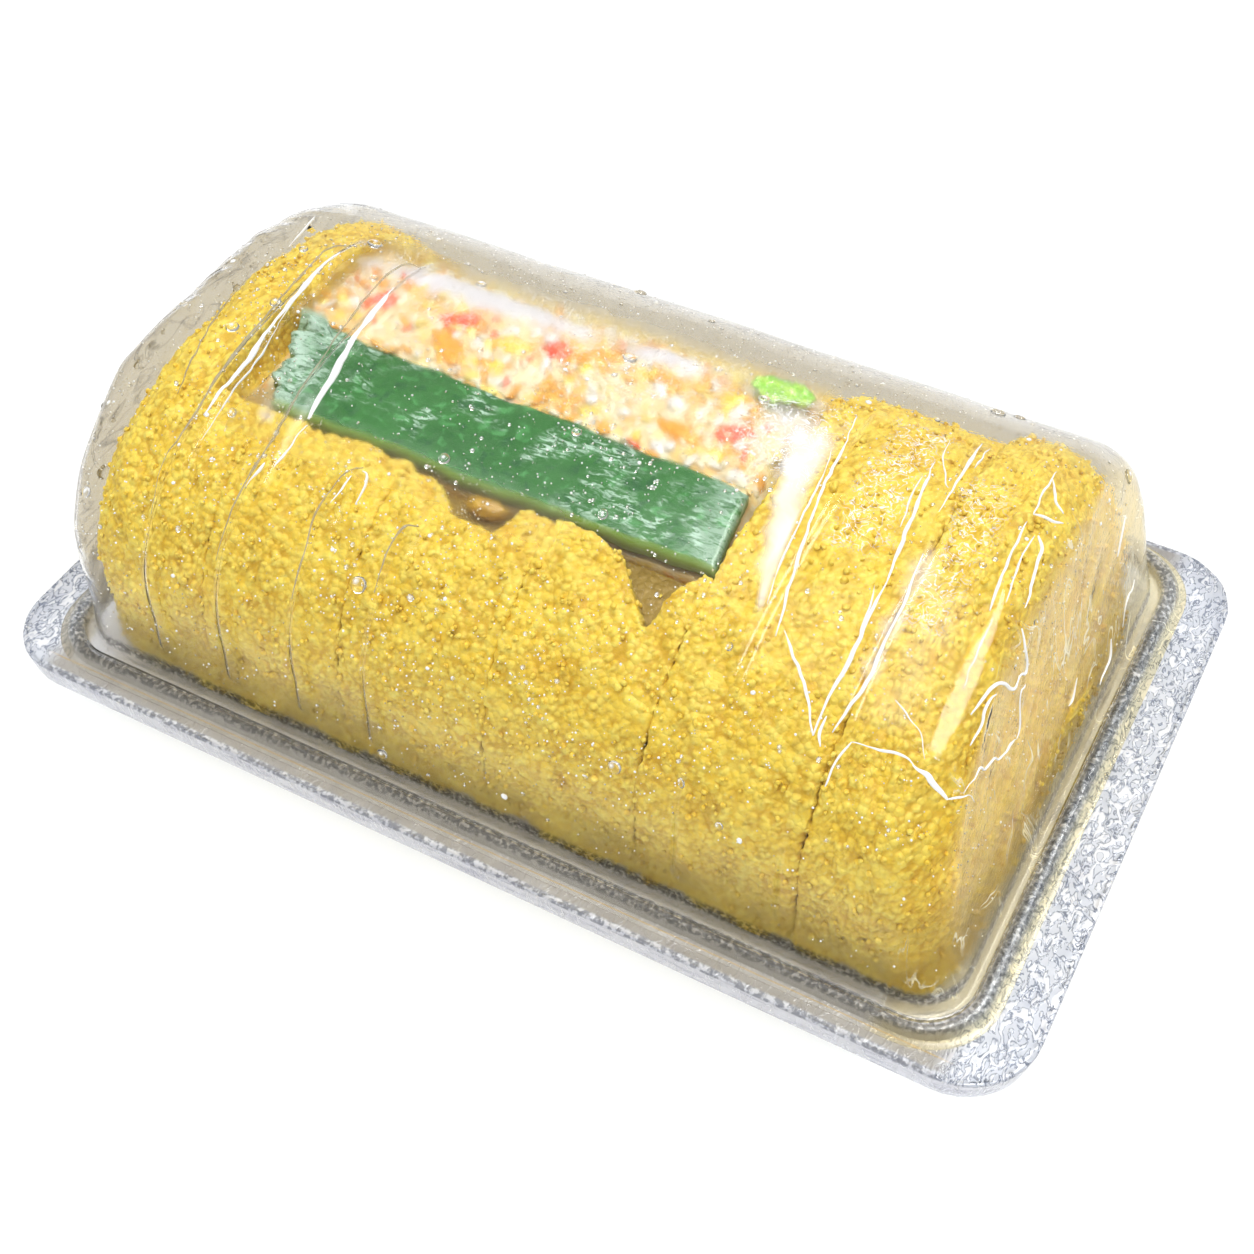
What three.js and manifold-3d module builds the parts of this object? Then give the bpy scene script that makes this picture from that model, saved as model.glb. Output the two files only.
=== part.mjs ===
// A clear takeaway tray of fried, crumbed gimbap: a shallow tray, an arched clear lid snapped over its
// raised bead, six crumbed pieces in a row, and the filling, vegetable strip and bits that lie on them.
// Millimetres. +X runs along the row, +Y to the back, +Z up. The origin is the middle of the underside.

import * as THREE from 'three';
import Module from 'manifold-3d';

// ---------------------------------------------------------------- driving sizes

const CLEAR = 0.35; // air kept between two pieces that rest on each other
const TOLERANCE = 1e-3; // points closer than this are one point

const FLANGE_TOP = 7.0;
const SKIRT_BOTTOM = 1.25;
const FLANGE = { halfX: 115, halfY: 71, corner: 15 };
const BEAD_OUTER = { halfX: 103.9, halfY: 65.8, corner: 13 };
const FLOOR = { halfX: 92.8, halfY: 55.3, corner: 9 };
const TRAY_WALL = 0.8;
const BEAD_HEIGHT = 2.2;

const LID_WALL = 0.7;
const LID_CAP_HEIGHT = 3.2; // top of the lid's rim above the flange
const DOME_FOOT = { halfX: 98.9, halfY: 61.0, corner: 10, z: 10.5 };
const DOME_CROWN = 64.0;
const DOME_WALL_TOP = 24.7; // the long walls are straight up to here, then arch over
const DOME_WALL_LEAN = 0.1; // how far a long wall leans in, for each millimetre of height
const DOME_ARCH_POWER = 2.34; // superellipse of the arch: 2 is round, larger is squarer
const DOME_END_LEAN = { left: 0.0, right: 0.22 };
const DOME_END_ROUND = 8; // radius where an end wall meets the crown
const RIB = { halfWidth: 2.9, height: 0.8, shortTop: 58, backStop: 62 }; // where short and full ribs stop
const RIBS = [ // moulded across the lid: where, and whether it runs over the crown
  { at: -74, full: true }, { at: -56.5, full: true }, { at: -39, full: false }, { at: -22, full: false },
  { at: 45, full: true }, { at: 65.5, full: true },
];

const ROW_LEFT = -96.5;
const ROW_CUTS = [-64, -31.5, 1.5, 34, 66.5]; // where one crumbed piece meets the next
const ROW_RIGHT = 97;
const PIECE_GAP = 0.8;
const PIECE = { front: -57.2, base: 1.2, wallTop: 20, power: 2.4 };
const PIECE_BACK = [56, 48, 48.5, 49, 52.5, 56]; // each piece's own back face
const PIECE_CROWN = [61.2, 60, 60, 60, 60.3, 61.2]; // and its own height
const FIRST_BACK = { from: -87, to: -66, keeps: 0.68 }; // the first piece narrows to the second at its back
const CUT_END = { edge: 3.6, y: 0.045, z: 0.09 }; // rounding along X, and how far y and z draw in
const LEFT_END = { edge: 12, y: 0.20, z: 0.32 };
const RIGHT_END = { edge: 12, y: 0.22, z: 0.20 };
const FOOT_RISE = { from: 91.5, slope: 0.66 }; // the row's ends lie on the tray's sloping wall
const CRUST_LUMP = 0.9; // how far the crumb crust swells in and out
const END_POINT_Z = 24; // height of the point that closes each end of a piece

const HOLLOW = { left: -78, front: -28, back: 33.5, floor: 50.6 }; // opened crust on top of the row
const FILLING = { left: -76, right: 32.0, front: -16, back: 31.5, lump: 0.7 };
const STRIP = {
  left: -74.5, right: 30.4, slant: 7, thick: 3.0, topBack: 59.0, topFront: 56.6, crown: 0.7,
  backLeft: 0.4, backRight: -3.5, frontLeft: -22.2, frontRight: -22.6,
};
const GRAIN = { long: 3.1, wide: 1.35, count: 46, seed: 7 };

// ---------------------------------------------------------------- small tools

const lerp = (a, b, t) => a + (b - a) * t;
const clamp01 = (t) => Math.min(1, Math.max(0, t));
const smooth = (a, b, x) => {
  const t = clamp01((x - a) / (b - a));
  return t * t * (3 - 2 * t);
};

// A repeatable stream of numbers from 0 to 1.
function randomStream(seed) {
  let state = seed;
  return () => {
    state = (state * 1664525 + 1013904223) % 4294967296;
    return state / 4294967296;
  };
}

// Soft lumps, from -1 to 1, from a few crossed waves.
function lumps(x, y, z) {
  const broad = Math.sin(x * 0.23 + 1.3) * Math.cos(y * 0.19 + z * 0.21 + 0.4);
  const small = Math.sin(x * 0.61 + y * 0.37 + 2.1) * Math.cos(z * 0.53 - y * 0.42);
  return 0.6 * broad + 0.4 * small;
}

// A closed geometry through rings of equally many points. The first and the last ring have fallen
// together to a point or a line, so that they close the body. Points that coincide become one.
function loft(rings) {
  const points = [];
  const known = new Map();
  const ids = rings.map((ring) => ring.map((p) => {
    const key = p.map((c) => Math.round(c / TOLERANCE)).join();
    if (!known.has(key)) {
      known.set(key, points.length);
      points.push(p);
    }
    return known.get(key);
  }));
  const triangles = [];
  const add = (a, b, c) => {
    if (a !== b && b !== c && c !== a) triangles.push([a, b, c]);
  };
  for (let r = 0; r + 1 < ids.length; r++) {
    const n = ids[r].length;
    for (let k = 0; k < n; k++) {
      const j = (k + 1) % n;
      add(ids[r][k], ids[r][j], ids[r + 1][k]);
      add(ids[r][j], ids[r + 1][j], ids[r + 1][k]);
    }
  }
  return outward(points, triangles);
}

// Indexed geometry with its faces turned out, whichever way they were listed.
function outward(points, triangles) {
  const [a, b, c] = [new THREE.Vector3(), new THREE.Vector3(), new THREE.Vector3()];
  const volume = triangles.reduce((sum, [i, j, k]) => {
    a.fromArray(points[i]);
    b.fromArray(points[j]);
    c.fromArray(points[k]);
    return sum + a.dot(b.cross(c));
  }, 0);
  const index = triangles.flatMap(([i, j, k]) => (volume < 0 ? [i, k, j] : [i, j, k]));
  const geometry = new THREE.BufferGeometry();
  geometry.setAttribute('position', new THREE.Float32BufferAttribute(points.flat(), 3));
  geometry.setIndex(index);
  return geometry;
}

// ---------------------------------------------------------------- rounded-rectangle rings

const CORNER_STEPS = 5;
const END_STEPS = 2;

// One ring at height z, counterclockwise from the right end, with the given X stations on its long sides.
function ring({ left, right, halfY, corner, z, stations, lift = () => [0, 0] }) {
  const r = Math.max(0, Math.min(corner, halfY));
  const points = [];
  const arc = (cx, cy, start) => {
    for (let k = 0; k <= CORNER_STEPS; k++) {
      const a = start + (Math.PI / 2) * (k / CORNER_STEPS);
      points.push([cx + r * Math.cos(a), cy + r * Math.sin(a), z]);
    }
  };
  const along = (list, side) => list.forEach((x) => {
    const [out, up] = lift(x, side);
    points.push([x, side * Math.max(0, halfY + out), z + up]);
  });
  const across = (x, side) => {
    for (let k = 1; k < END_STEPS; k++) {
      points.push([x, side * lerp(-(halfY - r), halfY - r, k / END_STEPS), z]);
    }
  };
  arc(right - r, halfY - r, 0);
  along([...stations].reverse(), 1);
  arc(left + r, halfY - r, Math.PI / 2);
  across(left, -1);
  arc(left + r, -halfY + r, Math.PI);
  along(stations, -1);
  arc(right - r, -halfY + r, 1.5 * Math.PI);
  across(right, 1);
  return points;
}

// ---------------------------------------------------------------- tray

const TRAY_STATIONS = [-66, -33, 0, 33, 66];

function trayRing(halfX, halfY, corner, z) {
  const stations = TRAY_STATIONS.map((x) => Math.max(-halfX, Math.min(halfX, x)));
  return ring({ left: -halfX, right: halfX, halfY, corner, z, stations });
}

// The skin runs from the middle of the underside, out round the skirt, and back over the bead and floor.
function trayGeometry() {
  const [F, B, P, t, top] = [FLANGE, BEAD_OUTER, FLOOR, TRAY_WALL, FLANGE_TOP];
  const line = P.halfX - P.halfY;
  const beadTop = top + BEAD_HEIGHT;
  const underside = [
    [line, 0, 0, 0],
    [P.halfX + 0.4, P.halfY + 0.4, P.corner, 0],
    [P.halfX + 2.6, P.halfY + 2.6, P.corner + 1, 1.1],
    [P.halfX + 6.5, P.halfY + 6.4, P.corner + 2, top - 1.8],
    [F.halfX - 1.5, F.halfY - 1.5, F.corner - 1.5, top - t],
    [F.halfX - 2.0, F.halfY - 1.9, F.corner - 1.9, SKIRT_BOTTOM],
  ];
  const upside = [
    [F.halfX - 1.1, F.halfY - 0.9, F.corner - 0.9, SKIRT_BOTTOM],
    [F.halfX, F.halfY, F.corner, top - 0.5],
    [F.halfX - 0.4, F.halfY - 0.4, F.corner - 0.4, top],
    [B.halfX, B.halfY, B.corner, top],
    [B.halfX - 0.4, B.halfY - 0.4, B.corner - 0.4, beadTop - 0.4],
    [B.halfX - 0.8, B.halfY - 0.8, B.corner - 0.8, beadTop],
    [B.halfX - 1.4, B.halfY - 1.3, B.corner - 1.3, beadTop],
    [B.halfX - 1.8, B.halfY - 1.7, B.corner - 1.7, beadTop - 0.4],
    [B.halfX - 2.2, B.halfY - 2.0, B.corner - 2.0, top - 0.4],
    [B.halfX - 2.5, B.halfY - 2.3, B.corner - 2.2, top - 0.9],
    [P.halfX + 6.0, P.halfY + 5.9, P.corner + 2, top - 1.0],
    [P.halfX + 1.6, P.halfY + 1.6, P.corner + 1, 1.7],
    [P.halfX, P.halfY, P.corner, t],
    [line, 0, 0, t],
  ];
  return loft([...underside, ...upside].map((row) => trayRing(...row)));
}

// ---------------------------------------------------------------- lid

const RIB_STATIONS = RIBS.flatMap(({ at }) => [at - RIB.halfWidth, at, at + RIB.halfWidth]);
const LID_STATIONS = [...RIB_STATIONS, -5, 12, 29].sort((a, b) => a - b);

// A full rib runs from the front over the crown, and a short one stays on the front.
function ribHeight(x, z, side) {
  const rib = RIBS.find(({ at }) => Math.abs(x - at) < RIB.halfWidth / 2);
  if (!rib) return 0;
  if (side > 0) return rib.full && z > RIB.backStop ? RIB.height : 0;
  return rib.full || z < RIB.shortTop ? RIB.height : 0;
}

// Half width of the dome at height z.
function domeHalfY(z) {
  const wall = DOME_FOOT.halfY - DOME_WALL_LEAN * (Math.min(z, DOME_WALL_TOP) - DOME_FOOT.z);
  const t = clamp01((z - DOME_WALL_TOP) / (DOME_CROWN - DOME_WALL_TOP));
  return wall * (1 - t ** DOME_ARCH_POWER) ** (1 / DOME_ARCH_POWER);
}

// How far the end walls have drawn in at height z, where they round over to the crown.
function endRound(z) {
  const t = clamp01((z - DOME_CROWN + DOME_END_ROUND) / DOME_END_ROUND);
  return DOME_END_ROUND * (1 - Math.sqrt(1 - t * t));
}

function domeRing(z, inset, ribs) {
  const rise = Math.max(0, z - DOME_FOOT.z);
  const halfY = Math.max(0, domeHalfY(z) - inset);
  const slope = halfY / DOME_FOOT.halfY; // 1 on the wall, 0 on the crown
  return ring({
    left: -DOME_FOOT.halfX + DOME_END_LEAN.left * rise + endRound(z) + inset,
    right: DOME_FOOT.halfX - DOME_END_LEAN.right * rise - endRound(z) - inset,
    halfY,
    corner: Math.min(DOME_FOOT.corner, 0.35 * halfY),
    z: z - (z > DOME_WALL_TOP ? inset * (1 - slope) : 0),
    stations: LID_STATIONS,
    lift: (x, side) => {
      const height = ribs * ribHeight(x, z, side);
      return [height * slope, height * (1 - slope)];
    },
  });
}

// The heights of the dome's rings, evenly round the arch.
function domeHeights(steps) {
  const heights = [DOME_FOOT.z, DOME_WALL_TOP];
  for (let k = 1; k <= steps; k++) {
    const rise = Math.sin((Math.PI / 2) * (k / steps)) ** (2 / DOME_ARCH_POWER);
    heights.push(lerp(DOME_WALL_TOP, DOME_CROWN, rise));
  }
  return heights;
}

function lidRing(growX, growY, corner, z) {
  return ring({
    left: -BEAD_OUTER.halfX - growX,
    right: BEAD_OUTER.halfX + growX,
    halfY: BEAD_OUTER.halfY + growY,
    corner,
    z,
    stations: LID_STATIONS,
  });
}

// The skin runs from the crown's outside down to the rim, round the lip, and up again inside.
function lidGeometry() {
  const [top, r] = [FLANGE_TOP, BEAD_OUTER.corner];
  const cap = top + LID_CAP_HEIGHT;
  const dome = domeHeights(7);
  const outside = [...dome].reverse().map((z) => domeRing(z, 0, z > DOME_FOOT.z ? 1 : 0));
  const rim = [
    [-4.1, -3.4, r - 3, top + 0.9],
    [-3.5, -2.9, r - 2.6, top + 0.6],
    [-2.9, -2.5, r - 2.2, cap - 0.6],
    [-2.1, -1.9, r - 1.6, cap],
    [-0.3, -0.3, r, cap],
    [0.6, 0.5, r + 0.5, cap - 0.6],
    [1.1, 1.0, r + 1, top + 1.1],
    [2.5, 2.4, r + 2.2, top + 0.9],
    [2.5, 2.4, r + 2.2, top + CLEAR],
    [0.5, 0.4, r + 0.4, top + CLEAR],
    [0.0, -0.1, r, cap - 1.1],
    [-0.6, -0.7, r - 0.6, cap - 0.65],
    [-1.7, -1.6, r - 1.5, cap - 0.65],
    [-2.2, -2.0, r - 2, cap - 1.1],
    [-2.9, -2.6, r - 2.4, top - 0.1],
    [-4.4, -3.8, r - 3.4, top - 0.1],
  ].map((row) => lidRing(...row));
  const inside = dome.map((z) => domeRing(z, LID_WALL, 0));
  return loft([...outside, ...rim, ...inside]);
}

// ---------------------------------------------------------------- crumbed pieces

// Height of a piece's top at y, from where its back face is and how high its crown is.
function crustTop(y, back, crown) {
  const middle = (PIECE.front + back) / 2;
  const t = clamp01(Math.abs(y - middle) / (back - middle));
  return lerp(PIECE.wallTop, crown, (1 - t ** PIECE.power) ** (1 / PIECE.power));
}

// Points of a piece's cross-section, from the front foot over the top to the back foot.
function sectionOutline(back, crown) {
  const steps = 10;
  const middle = (PIECE.front + back) / 2;
  const half = back - middle;
  const across = [];
  for (let k = 0; k <= steps; k++) {
    const c = Math.cos(Math.PI * (k / steps));
    across.push(middle - half * Math.sign(c) * Math.abs(c) ** (2 / PIECE.power));
  }
  const clearOfHollow = (y) => Math.abs(y - HOLLOW.front) > 3 && Math.abs(y - HOLLOW.back) > 3;
  const rims = [HOLLOW.front - 0.5, HOLLOW.front + 1.2, HOLLOW.back - 1.2, HOLLOW.back + 0.5];
  const ys = [...across.filter(clearOfHollow), ...rims].sort((a, b) => a - b);
  return [
    [PIECE.front + 3.6, PIECE.base],
    [PIECE.front + 0.6, 7.5],
    ...ys.map((y) => [y, crustTop(y, back, crown)]),
    [back - 0.6, 7.5],
    [back - 3.6, PIECE.base],
  ];
}

// How much of its full size a section has, at distance e inside an end rounded over `edge`.
function endScale(e, edge, depth) {
  const t = clamp01(1 - e / edge);
  return 1 - depth * (1 - Math.sqrt(1 - t * t));
}

// The outline's y at x: behind the opened top, the first piece narrows towards the second.
function narrowed(k, x, y) {
  if (k > 0 || y < HOLLOW.back) return y;
  const keeps = lerp(1, FIRST_BACK.keeps, smooth(FIRST_BACK.from, FIRST_BACK.to, x));
  return HOLLOW.back + (y - HOLLOW.back) * keeps;
}

function pieceGeometry(k) {
  const last = ROW_CUTS.length;
  const left = k === 0 ? ROW_LEFT : ROW_CUTS[k - 1] + PIECE_GAP / 2;
  const right = k === last ? ROW_RIGHT : ROW_CUTS[k] - PIECE_GAP / 2;
  const crown = PIECE_CROWN[k];
  const leftEnd = k === 0 ? LEFT_END : CUT_END;
  const rightEnd = k === last ? RIGHT_END : CUT_END;
  const outline = sectionOutline(PIECE_BACK[k], crown);
  const middle = (PIECE.front + PIECE_BACK[k]) / 2;
  const opened = (x) => k < 4 && x > HOLLOW.left;
  const leaning = (x, z) => (k === last ? DOME_END_LEAN.right * smooth(left, right, x) * (z - PIECE.base) : 0);
  const section = (x) => {
    const round = (axis) => Math.min(
      endScale(x - left, leftEnd.edge, leftEnd[axis]),
      endScale(right - x, rightEnd.edge, rightEnd[axis]),
    );
    const foot = PIECE.base + FOOT_RISE.slope * Math.max(0, Math.abs(x) - FOOT_RISE.from);
    return outline.map(([y, z]) => {
      const swell = z > PIECE.base ? CRUST_LUMP * lumps(x + 17 * k, y, z) : 0;
      const outY = (narrowed(k, x, y) - middle) * round('y');
      const outZ = foot + (z - PIECE.base) * round('z');
      const slope = clamp01((z - PIECE.wallTop) / (crown - PIECE.wallTop));
      const py = outY + Math.sign(outY) * swell * (1 - slope);
      const pz = z > PIECE.wallTop ? outZ + swell * slope : outZ;
      const inHollow = y > HOLLOW.front && y < HOLLOW.back && opened(x);
      return [x - leaning(x, pz), middle + py, inHollow ? HOLLOW.floor : pz];
    });
  };
  const edgeOf = (radius) => [0, 0.07, 0.25, 0.6, 1].map((f) => f * radius);
  const inner = [0.33, 0.67].map((f) => lerp(left + leftEnd.edge, right - rightEnd.edge, f));
  const xs = [...edgeOf(leftEnd.edge).map((e) => left + e), ...inner,
    ...edgeOf(rightEnd.edge).reverse().map((e) => right - e)];
  if (k === 0) xs.push(HOLLOW.left - 0.6, HOLLOW.left + 0.6);
  xs.sort((a, b) => a - b);
  const point = (x) => outline.map(() => [x - leaning(x, END_POINT_Z), middle, END_POINT_Z]);
  return loft([point(xs[0]), ...xs.map(section), point(xs[xs.length - 1])]);
}

// ---------------------------------------------------------------- green strip

const stripTop = (t) => lerp(STRIP.topFront, STRIP.topBack, t);

function stripGeometry() {
  const lengthSteps = 9;
  const acrossSteps = 4;
  const rings = [];
  for (let i = 0; i <= lengthSteps; i++) {
    const u = i / lengthSteps;
    const back = lerp(STRIP.backLeft, STRIP.backRight, u);
    const front = lerp(STRIP.frontLeft, STRIP.frontRight, u);
    const over = [];
    const under = [];
    for (let j = 0; j <= acrossSteps; j++) {
      const t = j / acrossSteps;
      const start = STRIP.left + STRIP.slant * (1 - t);
      const x = lerp(start, STRIP.right + 2.2 * (1 - t), u);
      const crown = STRIP.crown * Math.sin(Math.PI * t) + 0.35 * Math.sin(u * 9 + t);
      const edge = j === 0 || j === acrossSteps ? 0.6 : 0;
      over.push([x, lerp(front, back, t), stripTop(t) + crown - edge]);
      under.unshift([x, lerp(front, back, t), stripTop(t) - STRIP.thick + 0.4 * crown]);
    }
    rings.push([...over, ...under]);
  }
  const close = (one) => one.map(() => centreOf(one));
  return loft([close(rings[0]), ...rings, close(rings[rings.length - 1])]);
}

function centreOf(points) {
  return [0, 1, 2].map((c) => points.reduce((sum, p) => sum + p[c], 0) / points.length);
}

// ---------------------------------------------------------------- bits on the filling

// A rounded chunk: a ball of few faces, stretched, turned and roughened.
function chunkGeometry({ at, size, turn = 0, tip = 0, rough = 0.12, detail = 1 }, grow = 0) {
  const geometry = new THREE.IcosahedronGeometry(1, detail);
  geometry.deleteAttribute('normal');
  geometry.deleteAttribute('uv');
  const place = new THREE.Matrix4().makeRotationFromEuler(new THREE.Euler(tip, 0, turn, 'ZYX'));
  const position = geometry.getAttribute('position');
  const points = [];
  const known = new Map();
  const ids = [];
  const p = new THREE.Vector3();
  for (let i = 0; i < position.count; i++) {
    p.fromBufferAttribute(position, i);
    const key = [p.x, p.y, p.z].map((c) => Math.round(c / TOLERANCE)).join();
    if (!known.has(key)) {
      known.set(key, points.length);
      const swell = 1 + rough * lumps(p.x * 6 + at[0], p.y * 6 + at[1], p.z * 6);
      p.set(p.x * (size[0] + grow), p.y * (size[1] + grow), p.z * (size[2] + grow));
      p.multiplyScalar(swell).applyMatrix4(place).add(new THREE.Vector3(...at));
      points.push(p.toArray());
    }
    ids.push(known.get(key));
  }
  const triangles = [];
  for (let i = 0; i < ids.length; i += 3) triangles.push(ids.slice(i, i + 3));
  return outward(points, triangles);
}

// Surface height of the filling at (x, y), before grains.
function fillingTop(x, y) {
  const back = smooth(FILLING.back + 1, FILLING.back - 14, y);
  const lid = lerp(53.2, 57.6, back) + FILLING.lump * lumps(x * 1.6, y * 1.6, 0);
  const under = lerp(STRIP.topFront, STRIP.topBack, clamp01((y + 22.4) / 21)) - STRIP.thick - 0.7;
  return lerp(under, lid, smooth(1.0, 3.0, y));
}

const onFilling = (x, y, sunk = 0) => [x, y, fillingTop(x, y) - sunk];

// Each bit: its node's name, colour, and either a chunk's middle, half sizes and turn, or a list of them.
const BITS = [
  { name: 'crab_stick_1', color: 0xf3eef0, at: onFilling(-45.5, 23.5, 0), size: [28, 3.3, 2.4], turn: 0.01 },
  { name: 'crab_stick_2', color: 0xf3eef0, at: onFilling(-2.5, 24.0, 0), size: [8.5, 3.0, 2.2], turn: 0.05 },
  { name: 'crab_flake_1', color: 0xe8532f, at: onFilling(-63, 12.5), size: [4.2, 2.4, 1.6], turn: 0.9 },
  { name: 'crab_flake_2', color: 0xe84a2c, at: onFilling(-44, 14.5), size: [3.8, 3.0, 1.7], turn: 0.3 },
  { name: 'crab_flake_3', color: 0xe33c26, at: onFilling(-22, 15.5), size: [3.6, 3.0, 1.7], turn: -0.4 },
  { name: 'crab_flake_4', color: 0xe6502c, at: onFilling(20.6, 10.0), size: [4.4, 2.5, 1.7], turn: 0.5 },
  { name: 'carrot_1', color: 0xf59a2a, at: onFilling(-43, 6.8), size: [6.2, 2.7, 1.7], turn: -0.7 },
  { name: 'carrot_2', color: 0xf48f2c, at: onFilling(-13.5, 17.5), size: [5.6, 2.5, 1.7], turn: 0.45 },
  { name: 'carrot_3', color: 0xf08a30, at: onFilling(10.8, 5.4), size: [5.2, 2.2, 1.6], turn: -0.2 },
  { name: 'carrot_4', color: 0xf08030, at: onFilling(3.5, 17.3), size: [4.4, 2.2, 1.6], turn: 0.2 },
  { name: 'egg_1', color: 0xf8d02a, at: onFilling(-31.2, 12.5), size: [4.6, 2.8, 1.7], turn: 0.2 },
  { name: 'egg_2', color: 0xf4e04a, at: onFilling(-32, 5.4), size: [4.2, 2.0, 1.6], turn: 0.1 },
  { name: 'egg_3', color: 0xf6d238, at: onFilling(16.5, 18.6), size: [3.2, 2.4, 1.6], turn: 0.6 },
];

const AMBER_BIT = { at: [-14.5, -25.0, 53.0], size: [4.3, 2.1, 1.9], turn: 0.1, rough: 0.1 };

// A small wavy leaf, both of its faces split alike.
function leafGeometry() {
  const [nu, nv, thick] = [8, 5, 0.6];
  const centre = [24.2, 24.0];
  const at = (i, j, side) => {
    const [u, v] = [i / nu, j / nv];
    const wide = Math.sin(Math.PI * (0.1 + 0.8 * u)) * 4.6;
    const x = centre[0] + lerp(-6.5, 6.5, u);
    const y = centre[1] + lerp(-wide, wide, v);
    const wave = 0.5 * Math.sin(u * 11) * Math.cos(v * 7) + 0.4 * Math.sin(v * 9);
    return [x, y, 59.2 - 0.30 * (y - centre[1]) + wave + side * (thick / 2)];
  };
  const rings = [];
  for (let i = 0; i <= nu; i++) {
    const over = Array.from({ length: nv + 1 }, (_, j) => at(i, j, 1));
    const under = Array.from({ length: nv + 1 }, (_, j) => at(i, nv - j, -1));
    rings.push([...over, ...under]);
  }
  const close = (one) => one.map(() => centreOf(one));
  return loft([close(rings[0]), ...rings, close(rings[nu])]);
}

// ---------------------------------------------------------------- filling

const wasm = await Module();
wasm.setup();

function toSolid(geometry) {
  return new wasm.Manifold(new wasm.Mesh({
    numProp: 3,
    vertProperties: new Float32Array(geometry.getAttribute('position').array),
    triVerts: new Uint32Array(geometry.getIndex().array),
  }));
}

function toGeometry(solid) {
  const mesh = solid.getMesh();
  const geometry = new THREE.BufferGeometry();
  geometry.setAttribute('position', new THREE.Float32BufferAttribute(mesh.vertProperties, 3));
  geometry.setIndex(Array.from(mesh.triVerts));
  return geometry;
}

function fillingCore() {
  const [along, across] = [20, 8];
  const rings = [];
  for (let i = 0; i <= along; i++) {
    const x = lerp(FILLING.left, FILLING.right, i / along);
    const over = [];
    for (let j = 0; j <= across; j++) {
      const y = lerp(FILLING.front, FILLING.back, j / across);
      over.push([x, y, fillingTop(x, y)]);
    }
    const low = HOLLOW.floor + CLEAR;
    rings.push([...over, [x, FILLING.back, low], [x, FILLING.front, low]]);
  }
  const close = (one) => one.map(() => centreOf(one));
  return loft([close(rings[0]), ...rings, close(rings[along])]);
}

// Rice grains half sunk in the core, where no bit lies.
function grainPlaces() {
  const random = randomStream(GRAIN.seed);
  const taken = BITS.map((b) => [b.at[0], b.at[1], b.size[0] + 2.6, b.size[1] + 3.2, b.turn]);
  taken.push([24.2, 24.0, 9.5, 8, 0]);
  const free = (x, y) => taken.every(([cx, cy, a, b, turn]) => {
    const [dx, dy] = [x - cx, y - cy];
    const [c, s] = [Math.cos(turn), Math.sin(turn)];
    return ((dx * c + dy * s) / a) ** 2 + ((dy * c - dx * s) / b) ** 2 > 1;
  });
  const places = [];
  for (let tries = 0; places.length < GRAIN.count && tries < 4000; tries++) {
    const x = lerp(FILLING.left + 5, FILLING.right - 5, random());
    const y = lerp(5.5, FILLING.back - 4, random());
    const turn = Math.PI * random();
    if (free(x, y) && places.every((q) => Math.hypot(q.at[0] - x, q.at[1] - y) > 2 * GRAIN.long)) {
      places.push({ at: onFilling(x, y, 0.2), turn });
    }
  }
  return places;
}

function fillingGeometry() {
  let solid = toSolid(fillingCore());
  for (const { at, turn } of grainPlaces()) {
    const size = [GRAIN.long, GRAIN.wide, GRAIN.wide];
    solid = solid.add(toSolid(chunkGeometry({ at, size, turn, rough: 0.05, detail: 0 })));
  }
  for (const bit of BITS) solid = solid.subtract(toSolid(chunkGeometry(bit, CLEAR)));
  return toGeometry(solid);
}

// ---------------------------------------------------------------- the object

const model = new THREE.Group();

function addPart(name, geometry, color, roughness, extra = {}) {
  const material = new THREE.MeshStandardMaterial({ color, roughness, metalness: 0, ...extra });
  const mesh = new THREE.Mesh(geometry, material);
  mesh.name = name;
  model.add(mesh);
}

const CLEAR_PLASTIC = { transparent: true, opacity: 0.3 };

addPart('tray', trayGeometry(), 0xd9dde2, 0.15, CLEAR_PLASTIC);
addPart('lid', lidGeometry(), 0xeef1f4, 0.08, CLEAR_PLASTIC);
for (let k = 0; k <= ROW_CUTS.length; k++) {
  addPart(`roll_${k + 1}`, pieceGeometry(k), 0xe8c24a, 0.85);
}
addPart('filling', fillingGeometry(), 0xf6efdc, 0.6);
addPart('green_strip', stripGeometry(), 0x2f7d3f, 0.45);
for (const bit of BITS) addPart(bit.name, chunkGeometry(bit), bit.color, 0.5);
addPart('amber_bit', chunkGeometry(AMBER_BIT), 0xa87a12, 0.35);
addPart('lettuce_leaf', leafGeometry(), 0x9be022, 0.45);

export default model;
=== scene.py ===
"""Looks of a clear takeaway tray of fried, crumbed gimbap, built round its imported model.

Sizes are in millimetres until add_piece() turns them into metres. +X runs along the row of pieces,
+Y to the back, +Z up, and the origin is the middle of the tray's underside.
"""

import itertools
import math

import bmesh
import bpy
import numpy as np
from mathutils import Matrix, Vector
from mathutils.bvhtree import BVHTree


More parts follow.
